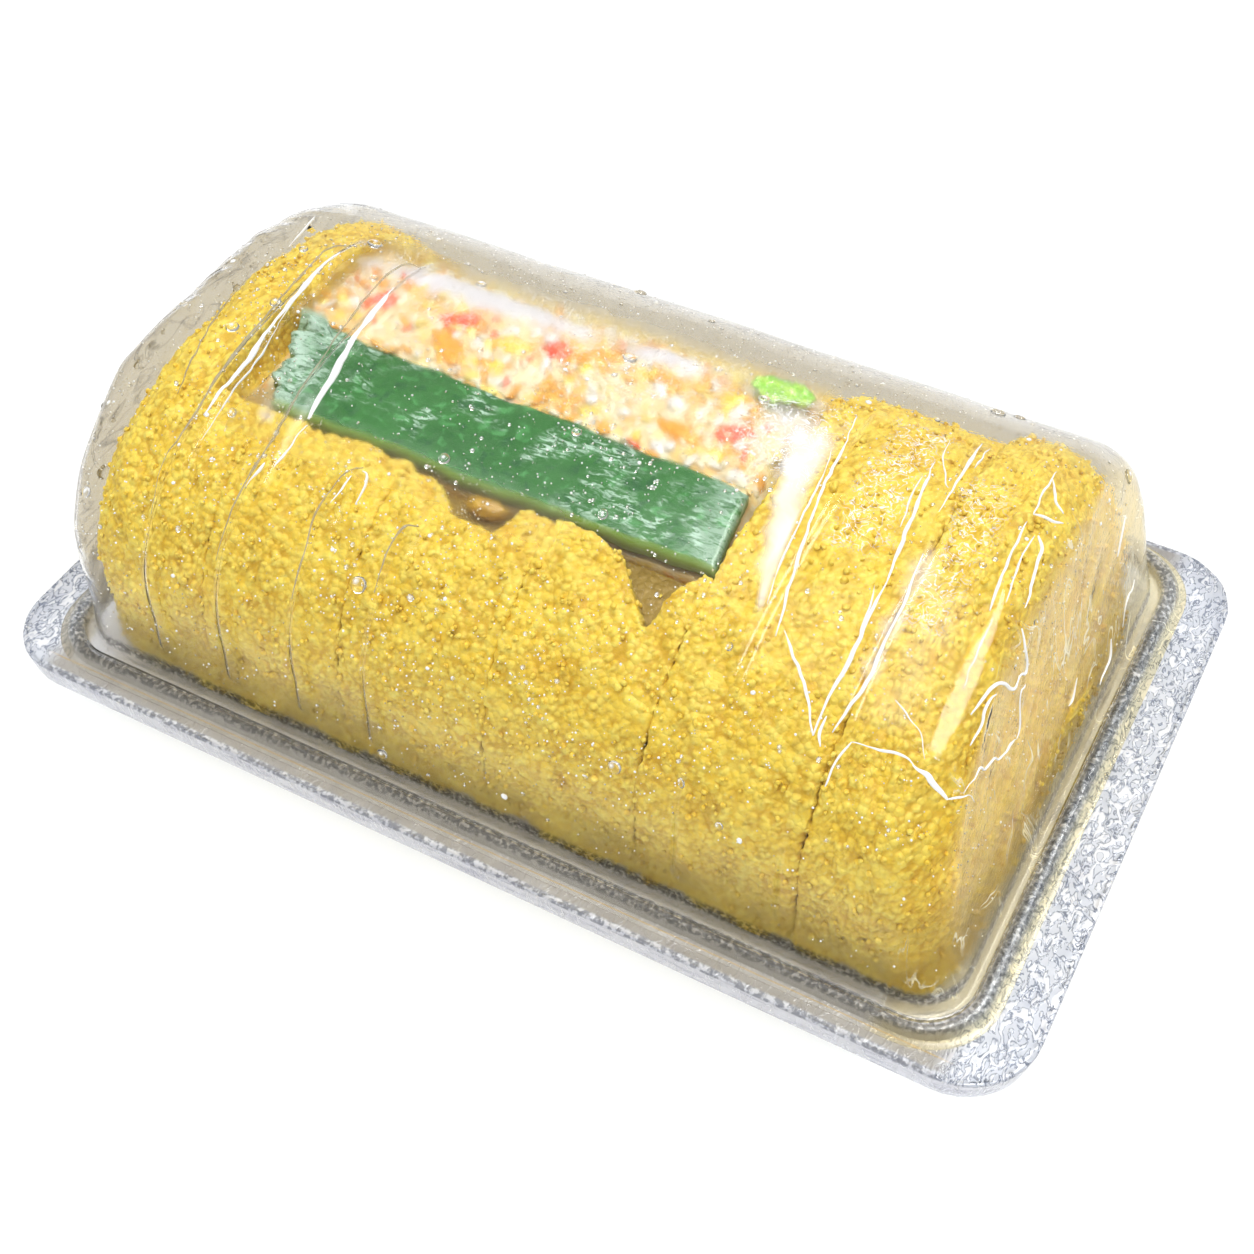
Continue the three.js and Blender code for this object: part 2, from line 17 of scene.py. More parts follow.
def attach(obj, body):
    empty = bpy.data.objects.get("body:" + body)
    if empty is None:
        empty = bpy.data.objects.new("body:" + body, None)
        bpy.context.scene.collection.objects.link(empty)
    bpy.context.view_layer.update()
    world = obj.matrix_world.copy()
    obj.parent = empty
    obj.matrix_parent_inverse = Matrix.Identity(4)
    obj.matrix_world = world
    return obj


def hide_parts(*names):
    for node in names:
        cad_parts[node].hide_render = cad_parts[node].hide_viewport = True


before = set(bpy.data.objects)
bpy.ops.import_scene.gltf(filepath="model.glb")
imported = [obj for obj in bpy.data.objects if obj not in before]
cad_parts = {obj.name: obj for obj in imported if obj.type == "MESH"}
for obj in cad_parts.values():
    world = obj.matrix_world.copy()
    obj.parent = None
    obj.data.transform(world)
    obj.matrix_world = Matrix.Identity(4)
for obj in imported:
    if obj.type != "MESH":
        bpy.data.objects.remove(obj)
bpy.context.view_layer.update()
MM = 0.001

# ---- driving sizes

FLANGE_TOP = 7
SKIRT_BOTTOM = 1.25
FLANGE = (115, 71, 15)  # half length, half width and corner radius
BEAD = (103.9, 65.8, 13)
FLOOR = (92.8, 55.3, 9)
BEAD_HEIGHT = 2.2
TRAY_SKIN = 0.6

LID_SKIN = 0.5
LID_CAP_HEIGHT = 3.2
FOOT_X, FOOT_Y, FOOT_CORNER, FOOT_Z = 98.9, 61, 10, 10.5  # of the dome: half sizes, corner and height
DOME_CROWN = 64
DOME_WALL_TOP = 24.7
DOME_WALL_LEAN = 0.1
DOME_ARCH_POWER = 2.34
DOME_END_LEAN = 0.22  # of the right end wall; the left one is upright
DOME_END_ROUND = 8
RIB_HEIGHT = 0.8
RIB_SHORT_TOP = 58
RIBS = ((-74, True), (-56.5, True), (-39, False), (-22, False), (45, True), (65.5, True))

ROW_LEFT, ROW_RIGHT = -96.5, 97
ROW_CUTS = (-64, -31.5, 1.5, 34, 66.5)
PIECE_GAP = 0.04
PIECE_FRONT, PIECE_BASE, PIECE_WALL_TOP, PIECE_POWER = -57.2, 1.2, 20, 2.4
PIECE_BACK = (56, 48, 48.5, 49, 52.5, 56)
PIECE_CROWN = (61.2, 60, 60, 60, 60.3, 61.2)
FIRST_BACK = (-87, -66, 0.68)  # the first piece narrows at its back from and to these X, to that share
LEFT_END = (12, 0.2, 0.32)  # rounding along X, and how far y and z draw in
RIGHT_END = (12, 0.22, 0.2)
CUT_EDGE = (0.6, 0.6, 0.6, 0.6, 1.3)  # rounding on both sides of each cut
CUT_DEPTH = 0.028  # how far a cut's edges draw in, for each millimetre of its rounding
FOOT_RISE = (91.5, 0.66)  # the row's ends lie on the tray's sloping wall: from there, and how steeply
CRUMB = 1.45  # across one crumb
LOOSE_CRUMBS, RICE_GRAINS = 5000, 800  # how many

HOLLOW = {"left": -78, "right": 33.8, "front": -28, "back": 33.5, "floor": 50.6}
HOLLOW_LIP = 1.4  # how wide the opening's rim is
HOLLOW_ABOVE = 40  # everything above this height, between the rims, belongs to the opening
OPENED_PIECES = 4  # the first ones in the row
HOLLOW_FRONT = (  # the ragged front edge of the opened top, with a pit at the pickle and one by the right end
    (-80, -25), (-34, -25), (-24, -26.5), (-18, -31.5), (-8, -31.5), (-4, -26), (9, -25), (16, -28),
    (22, -32), (26.5, -37.5), (28.5, -30), (32, -25.5),
)
FILLING = {"left": -76, "right": 32, "front": -16, "back": 31.5, "tuck": 7}  # tucked in under the strip
STRIP = {
    "left": -74.5, "right": 30.4, "slant": 7, "thick": 3, "top_back": 59, "top_front": 56.6,
    "crown": 0.7, "back": (0.4, -3.5), "front": (-22.2, -22.6), "wide": 21, "long": 104,
}

CAMERA_AT = (127.99, -218.46, 291.76)
CAMERA_AZIMUTH, CAMERA_DOWN, CAMERA_ROLL = 30.21, 48.972, -2.1005  # degrees
CAMERA_LENS = 50.833

# ---- numbers and noise


def smooth(low, high, value):
    """0 below low, 1 above high, and a soft step between them."""
    t = np.clip((value - low) / (high - low), 0, 1)
    return t * t * (3 - 2 * t)


def lerp(a, b, t):
    return a + (b - a) * t


def hashed(cell, salt):
    """A repeatable number from 0 to 1 for each whole-numbered cell."""
    mixed = cell @ np.array([73856093, 19349663, 83492791]) + salt * 2654435761
    mixed = (mixed ^ (mixed >> 13)) * 1274126177
    mixed = (mixed ^ (mixed >> 16)) & 0xFFFFFF
    return mixed / 0xFFFFFF


def noise(points, size, salt=0):
    """Smooth noise from -1 to 1, in features about `size` across."""
    scaled = points / size
    cell = np.floor(scaled).astype(np.int64)
    part = scaled - cell
    part = part * part * (3 - 2 * part)
    total = np.zeros(len(points))
    for corner in itertools.product((0, 1), repeat=3):
        weight = np.prod(np.where(corner, part, 1 - part), axis=1)
        total += weight * hashed(cell + np.array(corner), salt)
    return 2 * total - 1


def cells(points, size, salt=0):
    """Distance to the nearest of scattered centres, how much farther the next one is (both in units
    of `size`), and a random number that belongs to the nearest one."""
    scaled = points / size
    base = np.floor(scaled).astype(np.int64)
    nearest = np.full(len(points), 9.0)
    second = np.full(len(points), 9.0)
    own = np.zeros(len(points))
    for shift in itertools.product((-1, 0, 1), repeat=3):
        cell = base + np.array(shift)
        centre = cell + 0.5 + 0.85 * (np.stack([hashed(cell, salt + k) for k in (1, 2, 3)], 1) - 0.5)
        distance = np.linalg.norm(scaled - centre, axis=1)
        closer = distance < nearest
        second = np.where(closer, nearest, np.minimum(second, distance))
        own = np.where(closer, hashed(cell, salt + 4), own)
        nearest = np.minimum(nearest, distance)
    return nearest, second - nearest, own


# ---- meshes


def tube_faces(rings, around):
    """Triangles between neighbouring rings of `around` points each."""
    k = np.arange(around)
    j = (k + 1) % around
    row = np.arange(rings - 1)[:, None] * around
    a, b, c, d = row + k, row + j, row + around + j, row + around + k
    return np.concatenate([np.stack([a, b, c], -1), np.stack([a, c, d], -1)]).reshape(-1, 3)


def welded(points, faces):
    """The mesh with points that coincide joined, and the faces that fell together left out."""
    keys = np.round(points / 1e-3).astype(np.int64)
    _, first, known = np.unique(keys, axis=0, return_index=True, return_inverse=True)
    faces = known.reshape(-1)[faces]
    distinct = (faces[:, 0] != faces[:, 1]) & (faces[:, 1] != faces[:, 2]) & (faces[:, 2] != faces[:, 0])
    return points[first], faces[distinct]


def vertex_normals(points, faces):
    a, b, c = (points[faces[:, k]] for k in range(3))
    across = np.cross(b - a, c - a)
    normals = np.stack([
        sum(np.bincount(faces[:, k], across[:, axis], len(points)) for k in range(3)) for axis in range(3)
    ], 1)
    return normals / np.maximum(np.linalg.norm(normals, axis=1), 1e-9)[:, None]


def grid(columns, rows):
    """Shares from 0 to 1 along the two ways of a grid."""
    return np.meshgrid(np.linspace(0, 1, columns), np.linspace(0, 1, rows), indexing="ij")


def outward(points, faces):
    """The faces of a closed mesh, turned to point out."""
    a, b, c = (points[faces[:, k]] for k in range(3))
    volume = np.einsum("ij,ij->", a, np.cross(b, c))
    return faces if volume > 0 else faces[:, ::-1]


def closed_loft(rings):
    """A closed mesh through rings of equally many points (rings x around x 3), capped at both ends."""
    count, around, _ = rings.shape
    points = np.concatenate([rings.reshape(-1, 3), rings[0].mean(0)[None], rings[-1].mean(0)[None]])
    k = np.arange(around)
    j = (k + 1) % around
    start, end = len(points) - 2, len(points) - 1
    last = (count - 1) * around
    start_cap = np.stack([j, k, np.full(around, start)], 1)
    end_cap = np.stack([last + k, last + j, np.full(around, end)], 1)
    faces = np.concatenate([tube_faces(count, around), start_cap, end_cap])
    return points, outward(points, faces)


def grid_slab(over, under):
    """A closed mesh between two height fields of one shape (rows x columns x 3)."""
    rows = [np.concatenate([top, bottom[::-1]]) for top, bottom in zip(over, under)]
    return closed_loft(np.array(rows))


def add_piece(name, mesh, material, nodes=(), shades=None):
    """Adds a piece from points and triangles in millimetres; it rides with the pack, stands for `nodes`,
    and carries one colour attribute, "shade", with the given values for each point."""
    points, faces = mesh
    data = bpy.data.meshes.new(name)
    data.vertices.add(len(points))
    data.vertices.foreach_set("co", (points * MM).astype(np.float32).ravel())
    data.loops.add(faces.size)
    data.loops.foreach_set("vertex_index", faces.astype(np.int32).ravel())
    data.polygons.add(len(faces))
    data.polygons.foreach_set("loop_start", np.arange(len(faces), dtype=np.int32) * 3)
    data.update(calc_edges=True)
    data.validate()
    data.polygons.foreach_set("use_smooth", np.full(len(data.polygons), True))
    if shades is not None:
        colour = np.ones((len(points), 4), np.float32)
        colour[:, :shades.shape[1]] = shades
        data.color_attributes.new("shade", "FLOAT_COLOR", "POINT").data.foreach_set("color", colour.ravel())
    data.materials.append(material)
    piece = bpy.data.objects.new(name, data)
    bpy.context.scene.collection.objects.link(piece)
    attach(piece, "root")
    if nodes:
        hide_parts(*nodes)
    return piece


def ball(detail, bent=0, size=1, salt=0):
    """A ball of radius 1, bent out of round by that share."""
    work = bmesh.new()
    bmesh.ops.create_icosphere(work, subdivisions=detail, radius=1)
    points = np.array([v.co for v in work.verts])
    faces = np.array([[v.index for v in f.verts] for f in work.faces])
    work.free()
    faces = outward(points, faces)
    return (points * (1 + bent * noise(points * size, 1, salt))[:, None] if bent else points), faces


def sampled(mesh, count, rng, wanted=lambda places: 1):
    """Random places on a mesh and the normals there. wanted(places), from 0 to 1, thins them out."""
    points, faces = mesh
    a, b, c = (points[faces[:, k]] for k in range(3))
    across = np.cross(b - a, c - a)
    area = np.linalg.norm(across, axis=1)
    pick = rng.choice(len(faces), count, p=area / area.sum())
    u, v = rng.random((2, count))
    u, v = np.where(u + v > 1, 1 - u, u)[:, None], np.where(u + v > 1, 1 - v, v)[:, None]
    places = a[pick] + u * (b - a)[pick] + v * (c - a)[pick]
    normals = across[pick] / area[pick][:, None]
    keep = rng.random(count) < wanted(places)
    return places[keep], normals[keep]


def scattered(shape, places, normals, sizes, rng, tilt=0):
    """One mesh of copies of a small shape, each turned at random about its own normal and tilted."""
    points, faces = shape
    count = len(places)
    up = normals + tilt * rng.normal(size=(count, 3))
    up /= np.linalg.norm(up, axis=1)[:, None]
    side = np.cross(up, rng.normal(size=(count, 3)))
    side /= np.linalg.norm(side, axis=1)[:, None]
    other = np.cross(up, side)
    local = points[None] * sizes[:, None]
    turned = sum(local[..., axis, None] * way[:, None] for axis, way in enumerate((side, other, up)))
    all_points = places[:, None] + turned
    all_faces = faces[None] + (np.arange(count) * len(points))[:, None, None]
    return all_points.reshape(-1, 3), all_faces.reshape(-1, 3)


def joined(*meshes):
    """Several meshes as one."""
    shift, points, faces = 0, [], []
    for some_points, some_faces in meshes:
        points.append(some_points)
        faces.append(some_faces + shift)
        shift += len(some_points)
    return np.concatenate(points), np.concatenate(faces)


# ---- materials


class Shader:
    """A material's nodes, added and joined by short calls. A socket or a plain value fits any input, and a
    colour is written without its alpha."""

    def __init__(self, name):
        self.material = bpy.data.materials.new(name)
        self.material.use_nodes = True
        self.tree = self.material.node_tree
        self.tree.nodes.clear()
        self.place = self.add("ShaderNodeTexCoord").outputs["Object"]

    def add(self, kind, inputs=None, **settings):
        node = self.tree.nodes.new(kind)
        for key, value in settings.items():
            setattr(node, key, value)
        for key, value in (inputs or {}).items():
            socket = node.inputs[key]
            if isinstance(value, bpy.types.NodeSocket):
                self.tree.links.new(value, socket)
            else:
                socket.default_value = (*value, 1) if socket.type == "RGBA" else value
        return node

    def stretched(self, stretch):
        if stretch is None:
            return self.place
        return self.add("ShaderNodeMapping", {"Vector": self.place, "Scale": stretch}).outputs["Vector"]

    def noise(self, size, detail=2, rough=0.5, stretch=None, bend=0):
        """Noise from 0 to 1, in features about `size` millimetres across."""
        inputs = {"Scale": 1000 / size, "Detail": detail, "Roughness": rough, "Distortion": bend}
        return self.add("ShaderNodeTexNoise", {"Vector": self.stretched(stretch), **inputs}).outputs["Fac"]

    def cells(self, size):
        """Distance to the nearest of scattered centres, in units of `size` millimetres."""
        inputs = {"Vector": self.place, "Scale": 1000 / size}
        return self.add("ShaderNodeTexVoronoi", inputs).outputs["Distance"]

    def math(self, operation, a, b=0, clamp=False):
        return self.add("ShaderNodeMath", {0: a, 1: b}, operation=operation, use_clamp=clamp).outputs[0]

    def times(self, a, b):
        return self.math("MULTIPLY", a, b)

    def plus(self, a, b):
        """The sum, held between 0 and 1."""
        return self.math("ADD", a, b, clamp=True)

    def step(self, value, low, high, to_low=0, to_high=1):
        """The value mapped from low..high to to_low..to_high, softly and within those ends."""
        inputs = {"Value": value, "From Min": low, "From Max": high, "To Min": to_low, "To Max": to_high}
        return self.add("ShaderNodeMapRange", inputs, interpolation_type="SMOOTHSTEP").outputs["Result"]

    def line(self, noise, narrow, wide, most=1):
        """Thin winding lines where the noise is near its middle: `most` on them, and 0 beyond `wide`."""
        return self.step(self.math("ABSOLUTE", self.math("SUBTRACT", noise, 0.5)), narrow, wide, most, 0)

    def axis(self, name):
        """One coordinate of the place, in millimetres."""
        return self.times(self.add("ShaderNodeSeparateXYZ", {"Vector": self.place}).outputs[name], 1000)

    def shade(self):
        """The piece's own colour attribute, as its three numbers."""
        colour = self.add("ShaderNodeVertexColor", layer_name="shade").outputs["Color"]
        return self.add("ShaderNodeSeparateColor", {"Color": colour}).outputs[:3]

    def mix(self, part, a, b):
        return self.add("ShaderNodeMix", {0: part, 6: a, 7: b}, data_type="RGBA").outputs[2]

    def spots(self, colour, other, size, low, high, most=1, **noise):
        """The colour, with soft spots of another where noise of this size is high."""
        return self.mix(self.step(self.noise(size, **noise), low, high, 0, most), colour, other)

    def bump(self, height, depth, strength=1, normal=None):
        """A bump of `depth` millimetres, on top of another one if that is given."""
        inputs = {"Height": height, "Distance": depth * MM, "Strength": strength}
        if normal is not None:
            inputs["Normal"] = normal
        return self.add("ShaderNodeBump", inputs).outputs["Normal"]

    def surface(self, colour, rough, normal=None, **more):
        """A Principled shader, with underscores for the spaces of its other sockets' names."""
        sockets = {"Base Color": colour, "Roughness": rough}
        if normal is not None:
            sockets["Normal"] = normal
        sockets.update({key.replace("_", " "): value for key, value in more.items()})
        return self.add("ShaderNodeBsdfPrincipled", sockets).outputs["BSDF"]

    def finish(self, *looks, **more):
        return self.end(self.surface(*looks, **more))

    def finish_clear(self, lets_through, *looks, **more):
        rays = self.add("ShaderNodeLightPath").outputs
        passing = self.math("MAXIMUM", rays["Is Shadow Ray"], rays["Is Diffuse Ray"])
        open_air = self.add("ShaderNodeBsdfTransparent", {"Color": lets_through}).outputs["BSDF"]
        parts = {0: passing, 1: self.surface(*looks, **more), 2: open_air}
        return self.end(self.add("ShaderNodeMixShader", parts).outputs[0])

    def end(self, surface):
        self.add("ShaderNodeOutputMaterial", {"Surface": surface})
        return self.material


def crust_material():
    """Fried breadcrumbs: yellow, paler and browner crumb by crumb, with painted olive shade in the pores
    between them, and painted shade low on the walls and in the pits.
    """
    s = Shader("golden_crumbs")
    own, pore, low = s.shade()
    colour = s.mix(own, (0.94, 0.64, 0.05), (0.98, 0.78, 0.13))
    colour = s.spots(colour, (0.93, 0.58, 0.04), 14, 0.52, 0.78, 0.45, detail=3)
    fine = s.noise(0.8, rough=0.6)
    colour = s.mix(s.step(fine, 0.58, 0.76, 0, 0.5), colour, (0.98, 0.88, 0.3))
    crumb = s.cells(1.6)
    # painted shade: darker olive in the crevices between the crumb cells
    between = s.times(s.step(crumb, 0.52, 0.8, 0, 0.75), s.step(s.noise(7), 0.4, 0.62, 0.35, 1))
    colour = s.mix(between, colour, (0.62, 0.33, 0.008))
    # painted shade in the pores between crumbs, from the colour attribute
    colour = s.mix(pore, colour, (0.6, 0.33, 0.01))
    # painted shade: darker low on the walls and in the pits of the opened top, from the colour attribute
    colour = s.mix(low, colour, (0.36, 0.24, 0.05))
    bump = s.bump(s.step(crumb, 0.15, 0.8, 1, 0), 0.45, 0.8)
    bump = s.bump(fine, 0.2, 0.8, bump)
    return s.finish(colour, 0.6, bump, Specular_IOR_Level=0.3)


def filling_material():
    """Rice and cream, with soft peach, yellow and red clouds where the bits lie in it, painted shade between
    the grains, and painted shade where it tucks under the strip.
    """
    s = Shader("rice_filling")
    own, pore, tint = s.shade()
    colour = s.mix(own, (0.97, 0.79, 0.36), (0.97, 0.91, 0.7))
    colour = s.spots(colour, (0.97, 0.54, 0.1), 9, 0.44, 0.58, 0.85, bend=0.4)
    colour = s.spots(colour, (0.98, 0.8, 0.16), 7, 0.52, 0.68, 0.8, stretch=(1, 1.4, 1))
    colour = s.spots(colour, (0.95, 0.32, 0.1), 5.5, 0.64, 0.76, 0.6, detail=1, bend=0.8)
    # painted shade between the grains, and darker still where the filling tucks under the strip
    colour = s.mix(s.times(pore, 0.5), colour, (0.9, 0.58, 0.24))
    colour = s.mix(tint, colour, (0.36, 0.24, 0.06))
    bump = s.bump(s.noise(0.7, detail=3), 0.15, 0.6)
    return s.finish(colour, 0.42, bump)


def rice_material():
    s = Shader("rice_grain")
    own = s.shade()[0]
    colour = s.mix(own, (0.98, 0.85, 0.48), (0.98, 0.93, 0.74))
    colour = s.spots(colour, (0.98, 0.64, 0.24), 6, 0.48, 0.62, 0.8)
    return s.finish(colour, 0.35)


def bit_material(name, main, paler, dark, size=1.6, gloss=0.3):
    """A cooked scrap of one colour: paler fibres and darker spots over its main colour."""
    s = Shader(name)
    colour = s.spots(main, paler, size, 0.4, 0.68, detail=3, bend=0.7)
    colour = s.spots(colour, dark, size * 0.6, 0.62, 0.76, 0.8)
    bump = s.bump(s.noise(0.6, detail=3), 0.15, 0.7)
    return s.finish(colour, gloss, bump)


def strip_material():
    """Green pepper skin: deep green, frosted white in scratches and at its ragged left end."""
    s = Shader("green_skin")
    edge, frost, _ = s.shade()
    colour = s.mix(s.noise(9, detail=3), (0.01, 0.092, 0.012), (0.04, 0.215, 0.032))
    mottle = s.noise(3, detail=3, bend=0.5)
    colour = s.mix(s.step(mottle, 0.55, 0.72, 0, 0.7), colour, (0.09, 0.36, 0.1))
    colour = s.mix(s.step(mottle, 0.45, 0.3, 0, 0.7), colour, (0.008, 0.085, 0.02))
    fine = s.noise(1.8, detail=5, rough=0.7, stretch=(0.5, 1.6, 1), bend=1.2)
    broad = s.noise(12, detail=3, bend=0.6)
    frosted = s.times(s.step(fine, 0.48, 0.62), s.step(broad, 0.44, 0.62))
    frosted = s.plus(frosted, s.times(frost, s.step(fine, 0.34, 0.56)))
    colour = s.mix(s.times(frosted, 0.8), colour, (0.62, 0.82, 0.68))
    colour = s.mix(edge, colour, (0.3, 0.46, 0.05))
    bump = s.bump(s.noise(0.7), 0.08, 0.5, s.bump(fine, 0.14, 0.6))
    return s.finish(colour, s.step(frosted, 0, 1, 0.3, 0.6), bump)


def lid_material():
    """Thin clear lid. The colour attribute carries its white, painted glare and haze, the share of fine white
    squiggles, which are painted glints, and how far the mist inside blurs what lies under it."""
    s = Shader("clear_lid")
    x, y, z = s.axis("X"), s.axis("Y"), s.axis("Z")
    white, squiggles, mist = s.shade()
    right_end = s.step(x, 84, 90)
    # painted shade and haze: the left and back walls tinted gray-beige, with a little white
    far_wall = s.math("MAXIMUM", s.step(x, -94.5, -98), s.step(y, 42, 52))
    # painted glints: thin white squiggles for the sparkle of tiny drops
    threads = s.times(s.line(s.noise(2.2, detail=1, bend=1.6), 0.01, 0.035), squiggles)
    veil = s.plus(white, s.times(threads, 0.85))
    # painted highlights: white lines along the folds at the right end
    folds = s.times(s.line(s.noise(9, stretch=(1, 1, 0.35), bend=0.9), 0.003, 0.012), right_end)
    folds = s.times(folds, s.step(s.noise(14, detail=1), 0.45, 0.6))
    veil = s.plus(veil, s.times(folds, 0.8))
    veil = s.plus(veil, s.times(far_wall, 0.16))
    rough = s.math("ADD", s.times(mist, 0.38), 0.02)
    # painted shade: dark wavy lines where the film ripples at the left end
    wavy = s.noise(7, stretch=(1, 0.35, 1), bend=0.6)
    lines = s.times(s.line(wavy, 0, 0.022), s.step(x, -88, -94))
    film = s.mix(far_wall, (0.985, 0.985, 0.98), (0.66, 0.62, 0.53))
    film = s.mix(right_end, film, (0.97, 0.89, 0.64))
    film = s.mix(s.times(lines, 0.75), film, (0.34, 0.32, 0.29))
    # painted sparkle and shade: white specks on dark gray where the lid's foot sits in the bead
    silver = s.spots((0.3, 0.31, 0.33), (0.97, 0.97, 0.97), 0.9, 0.46, 0.6)
    foot = s.times(s.step(z, 12.6, 11.2), s.step(z, 9, 9.8))
    film = s.mix(s.times(foot, 0.9), film, silver)
    waves = s.bump(s.noise(9, stretch=(1, 0.6, 1)), 0.4, 0.3)
    tiny = s.bump(s.noise(0.9, detail=1), 0.05, 0.5, waves)
    return s.finish_clear(
        (0.97, 0.97, 0.96), film, rough, tiny,
        Transmission_Weight=s.math("SUBTRACT", 1, veil), IOR=1.22, Specular_IOR_Level=0.5,
    )


def tray_material():
    """Clear plastic: painted reflections on the hammered flange at both ends, blue-gray dashes and silvery
    sparkle, and smooth and grayer along the sides, with a painted highlight on their rounded edges.
    """
    s = Shader("clear_tray")
    x, y, z = s.axis("X"), s.axis("Y"), s.axis("Z")
    curls = s.noise(2.6, stretch=(1.4, 0.8, 0.4), bend=1.6)
    # painted reflections: blue-gray, dark dashes and white sparkle on the hammered flange
    foil = s.mix(s.noise(4), (0.56, 0.6, 0.67), (0.86, 0.88, 0.92))
    foil = s.mix(s.line(curls, 0.012, 0.05, 0.9), foil, (0.14, 0.17, 0.24))
    foil = s.mix(s.step(curls, 0.56, 0.62), foil, (0.98, 0.98, 1))
    sides = s.mix(s.noise(12), (0.34, 0.31, 0.26), (0.5, 0.47, 0.42))
    amber_line = s.step(s.math("ABSOLUTE", s.math("ADD", y, 66.9)), 0.1, 0.22, 0.8, 0)
    sides = s.mix(amber_line, sides, (0.55, 0.36, 0.1))
    # painted highlight: silvery specks on dark gray along the flange's rounded side edges
    silver = s.spots((0.3, 0.31, 0.34), (0.82, 0.83, 0.86), 1.2, 0.42, 0.62)
    sides = s.mix(s.step(s.math("ABSOLUTE", y), 69.2, 69.9), sides, silver)
    colour = s.mix(s.step(s.math("ABSOLUTE", x), 98, 104), sides, foil)
    skirt = s.spots((0.78, 0.78, 0.82), (0.52, 0.52, 0.6), 2.6, 0.52, 0.68, stretch=(0.35, 0.35, 2.4))
    colour = s.mix(s.step(z, 6.2, 6.8), skirt, colour)
    bump = s.bump(s.step(curls, 0.42, 0.62), 0.16, 0.6)
    return s.finish_clear(
        (0.96, 0.97, 0.98), colour, 0.08, bump,
        Transmission_Weight=0.6, IOR=1.45, Specular_IOR_Level=0.5,
    )


def water_material():
    """Drops. The colour attribute carries the painted white glint on each and its painted dark rim of shade.
    """
    s = Shader("water")
    glint, rim, _ = s.shade()
    colour = s.mix(rim, (0.98, 0.98, 0.97), (0.42, 0.38, 0.3))
    colour = s.mix(glint, colour, (1, 1, 1))
    bump = s.bump(s.noise(1.2, detail=1), 0.02, 0.4)
    return s.finish_clear(
        (0.98, 0.98, 0.98), colour, 0.03, bump,
        Transmission_Weight=s.math("SUBTRACT", 1, glint), IOR=1.33,
    )


def bent_film_material(name, dull, bright, size, lets_through, rough, clear, ior):
    """Film that is sharply bent, between a dull and a bright shade: painted white for highlights, or painted
    gray for shaded edges.
    """
    s = Shader(name)
    colour = s.mix(s.noise(size), dull, bright)
    bump = s.bump(s.noise(1.5), 0.05, 0.4)
    return s.finish_clear(
        lets_through, colour, rough, bump, Transmission_Weight=clear, IOR=ior,
    )


# ---- rounded-rectangle rings


def rounded_ring(left, right, half_y, corner, z, stations, arc=9, ends=60):
    """One closed ring at height z, counterclockwise from above, with the same points for any size."""
    r = min(corner, half_y)
    turn = np.linspace(0, math.pi / 2, arc + 1)
    along = np.clip(stations, left + r, right - r)
    across = np.linspace(-1, 1, ends + 1)[1:-1] * (half_y - r)

    def bend(x, y, start):
        return x + r * np.cos(start * math.pi + turn), y + r * np.sin(start * math.pi + turn)

    parts = [
        bend(right - r, half_y - r, 0), (along[::-1], half_y),
        bend(left + r, half_y - r, 0.5), (left, -across),
        bend(left + r, r - half_y, 1), (along, -half_y),
        bend(right - r, r - half_y, 1.5), (right, across),
    ]
    flat = np.concatenate([np.stack(np.broadcast_arrays(x, y), 1) for x, y in parts])
    return np.column_stack([flat, np.full(len(flat), z)])


def even_ring(half_x, half_y, corner, z, stations):
    return rounded_ring(-half_x, half_x, half_y, corner, z, stations)


def rounded_off(rows, passes=2):
    """A profile's rows with their corners cut off, which keeps both ends."""
    rows = np.array(rows, float)
    for _ in range(passes):
        cut = np.empty((2 * len(rows) - 2, rows.shape[1]))
        cut[0::2] = lerp(rows[:-1], rows[1:], 0.25)
        cut[1::2] = lerp(rows[:-1], rows[1:], 0.75)
        rows = np.concatenate([rows[:1], cut, rows[-1:]])
    return rows


def shell(rings, thickness, relief=None):
    """A closed thin shell: the skin through the rings, and its copy moved in by the thickness. The first
    ring has fallen together to a line; the last is the free edge. relief(points) lifts the skin."""
    count, around, _ = rings.shape
    points, faces = welded(rings.reshape(-1, 3), tube_faces(count, around))
    normals = vertex_normals(points, faces)
    if normals[np.argmax(points[:, 2]), 2] < 0:
        faces = faces[:, ::-1]
        normals = -normals
    if relief is not None:
        points = points + normals * relief(points)[:, None]
        normals = vertex_normals(points, faces)
    inner = points - normals * thickness
    edges = np.concatenate([faces[:, [0, 1]], faces[:, [1, 2]], faces[:, [2, 0]]])
    code = edges.min(1) * len(points) + edges.max(1)
    _, where, times = np.unique(code, return_index=True, return_counts=True)
    rim = edges[where[times == 1]]
    a, b = rim[:, 0], rim[:, 1]
    shift = len(points)
    sides = np.concatenate([np.stack([b, a, a + shift], 1), np.stack([b, a + shift, b + shift], 1)])
    whole = np.concatenate([faces, faces[:, ::-1] + shift, sides])
    return np.concatenate([points, inner]), whole, (points, faces)


# ---- lid

ON_RIBS = [at + np.linspace(-2.6, 3.6, 13) for at, _ in RIBS]
RIB_MARGIN = 0.6  # stations closer together than this make slivers that show as dark lines
OFF_RIBS = [x for x in np.arange(-88, 84, 2)
            if all(x < rib[0] - RIB_MARGIN or x > rib[-1] + RIB_MARGIN for rib in ON_RIBS)]
LID_STATIONS = np.sort(np.concatenate([OFF_RIBS, *ON_RIBS]))


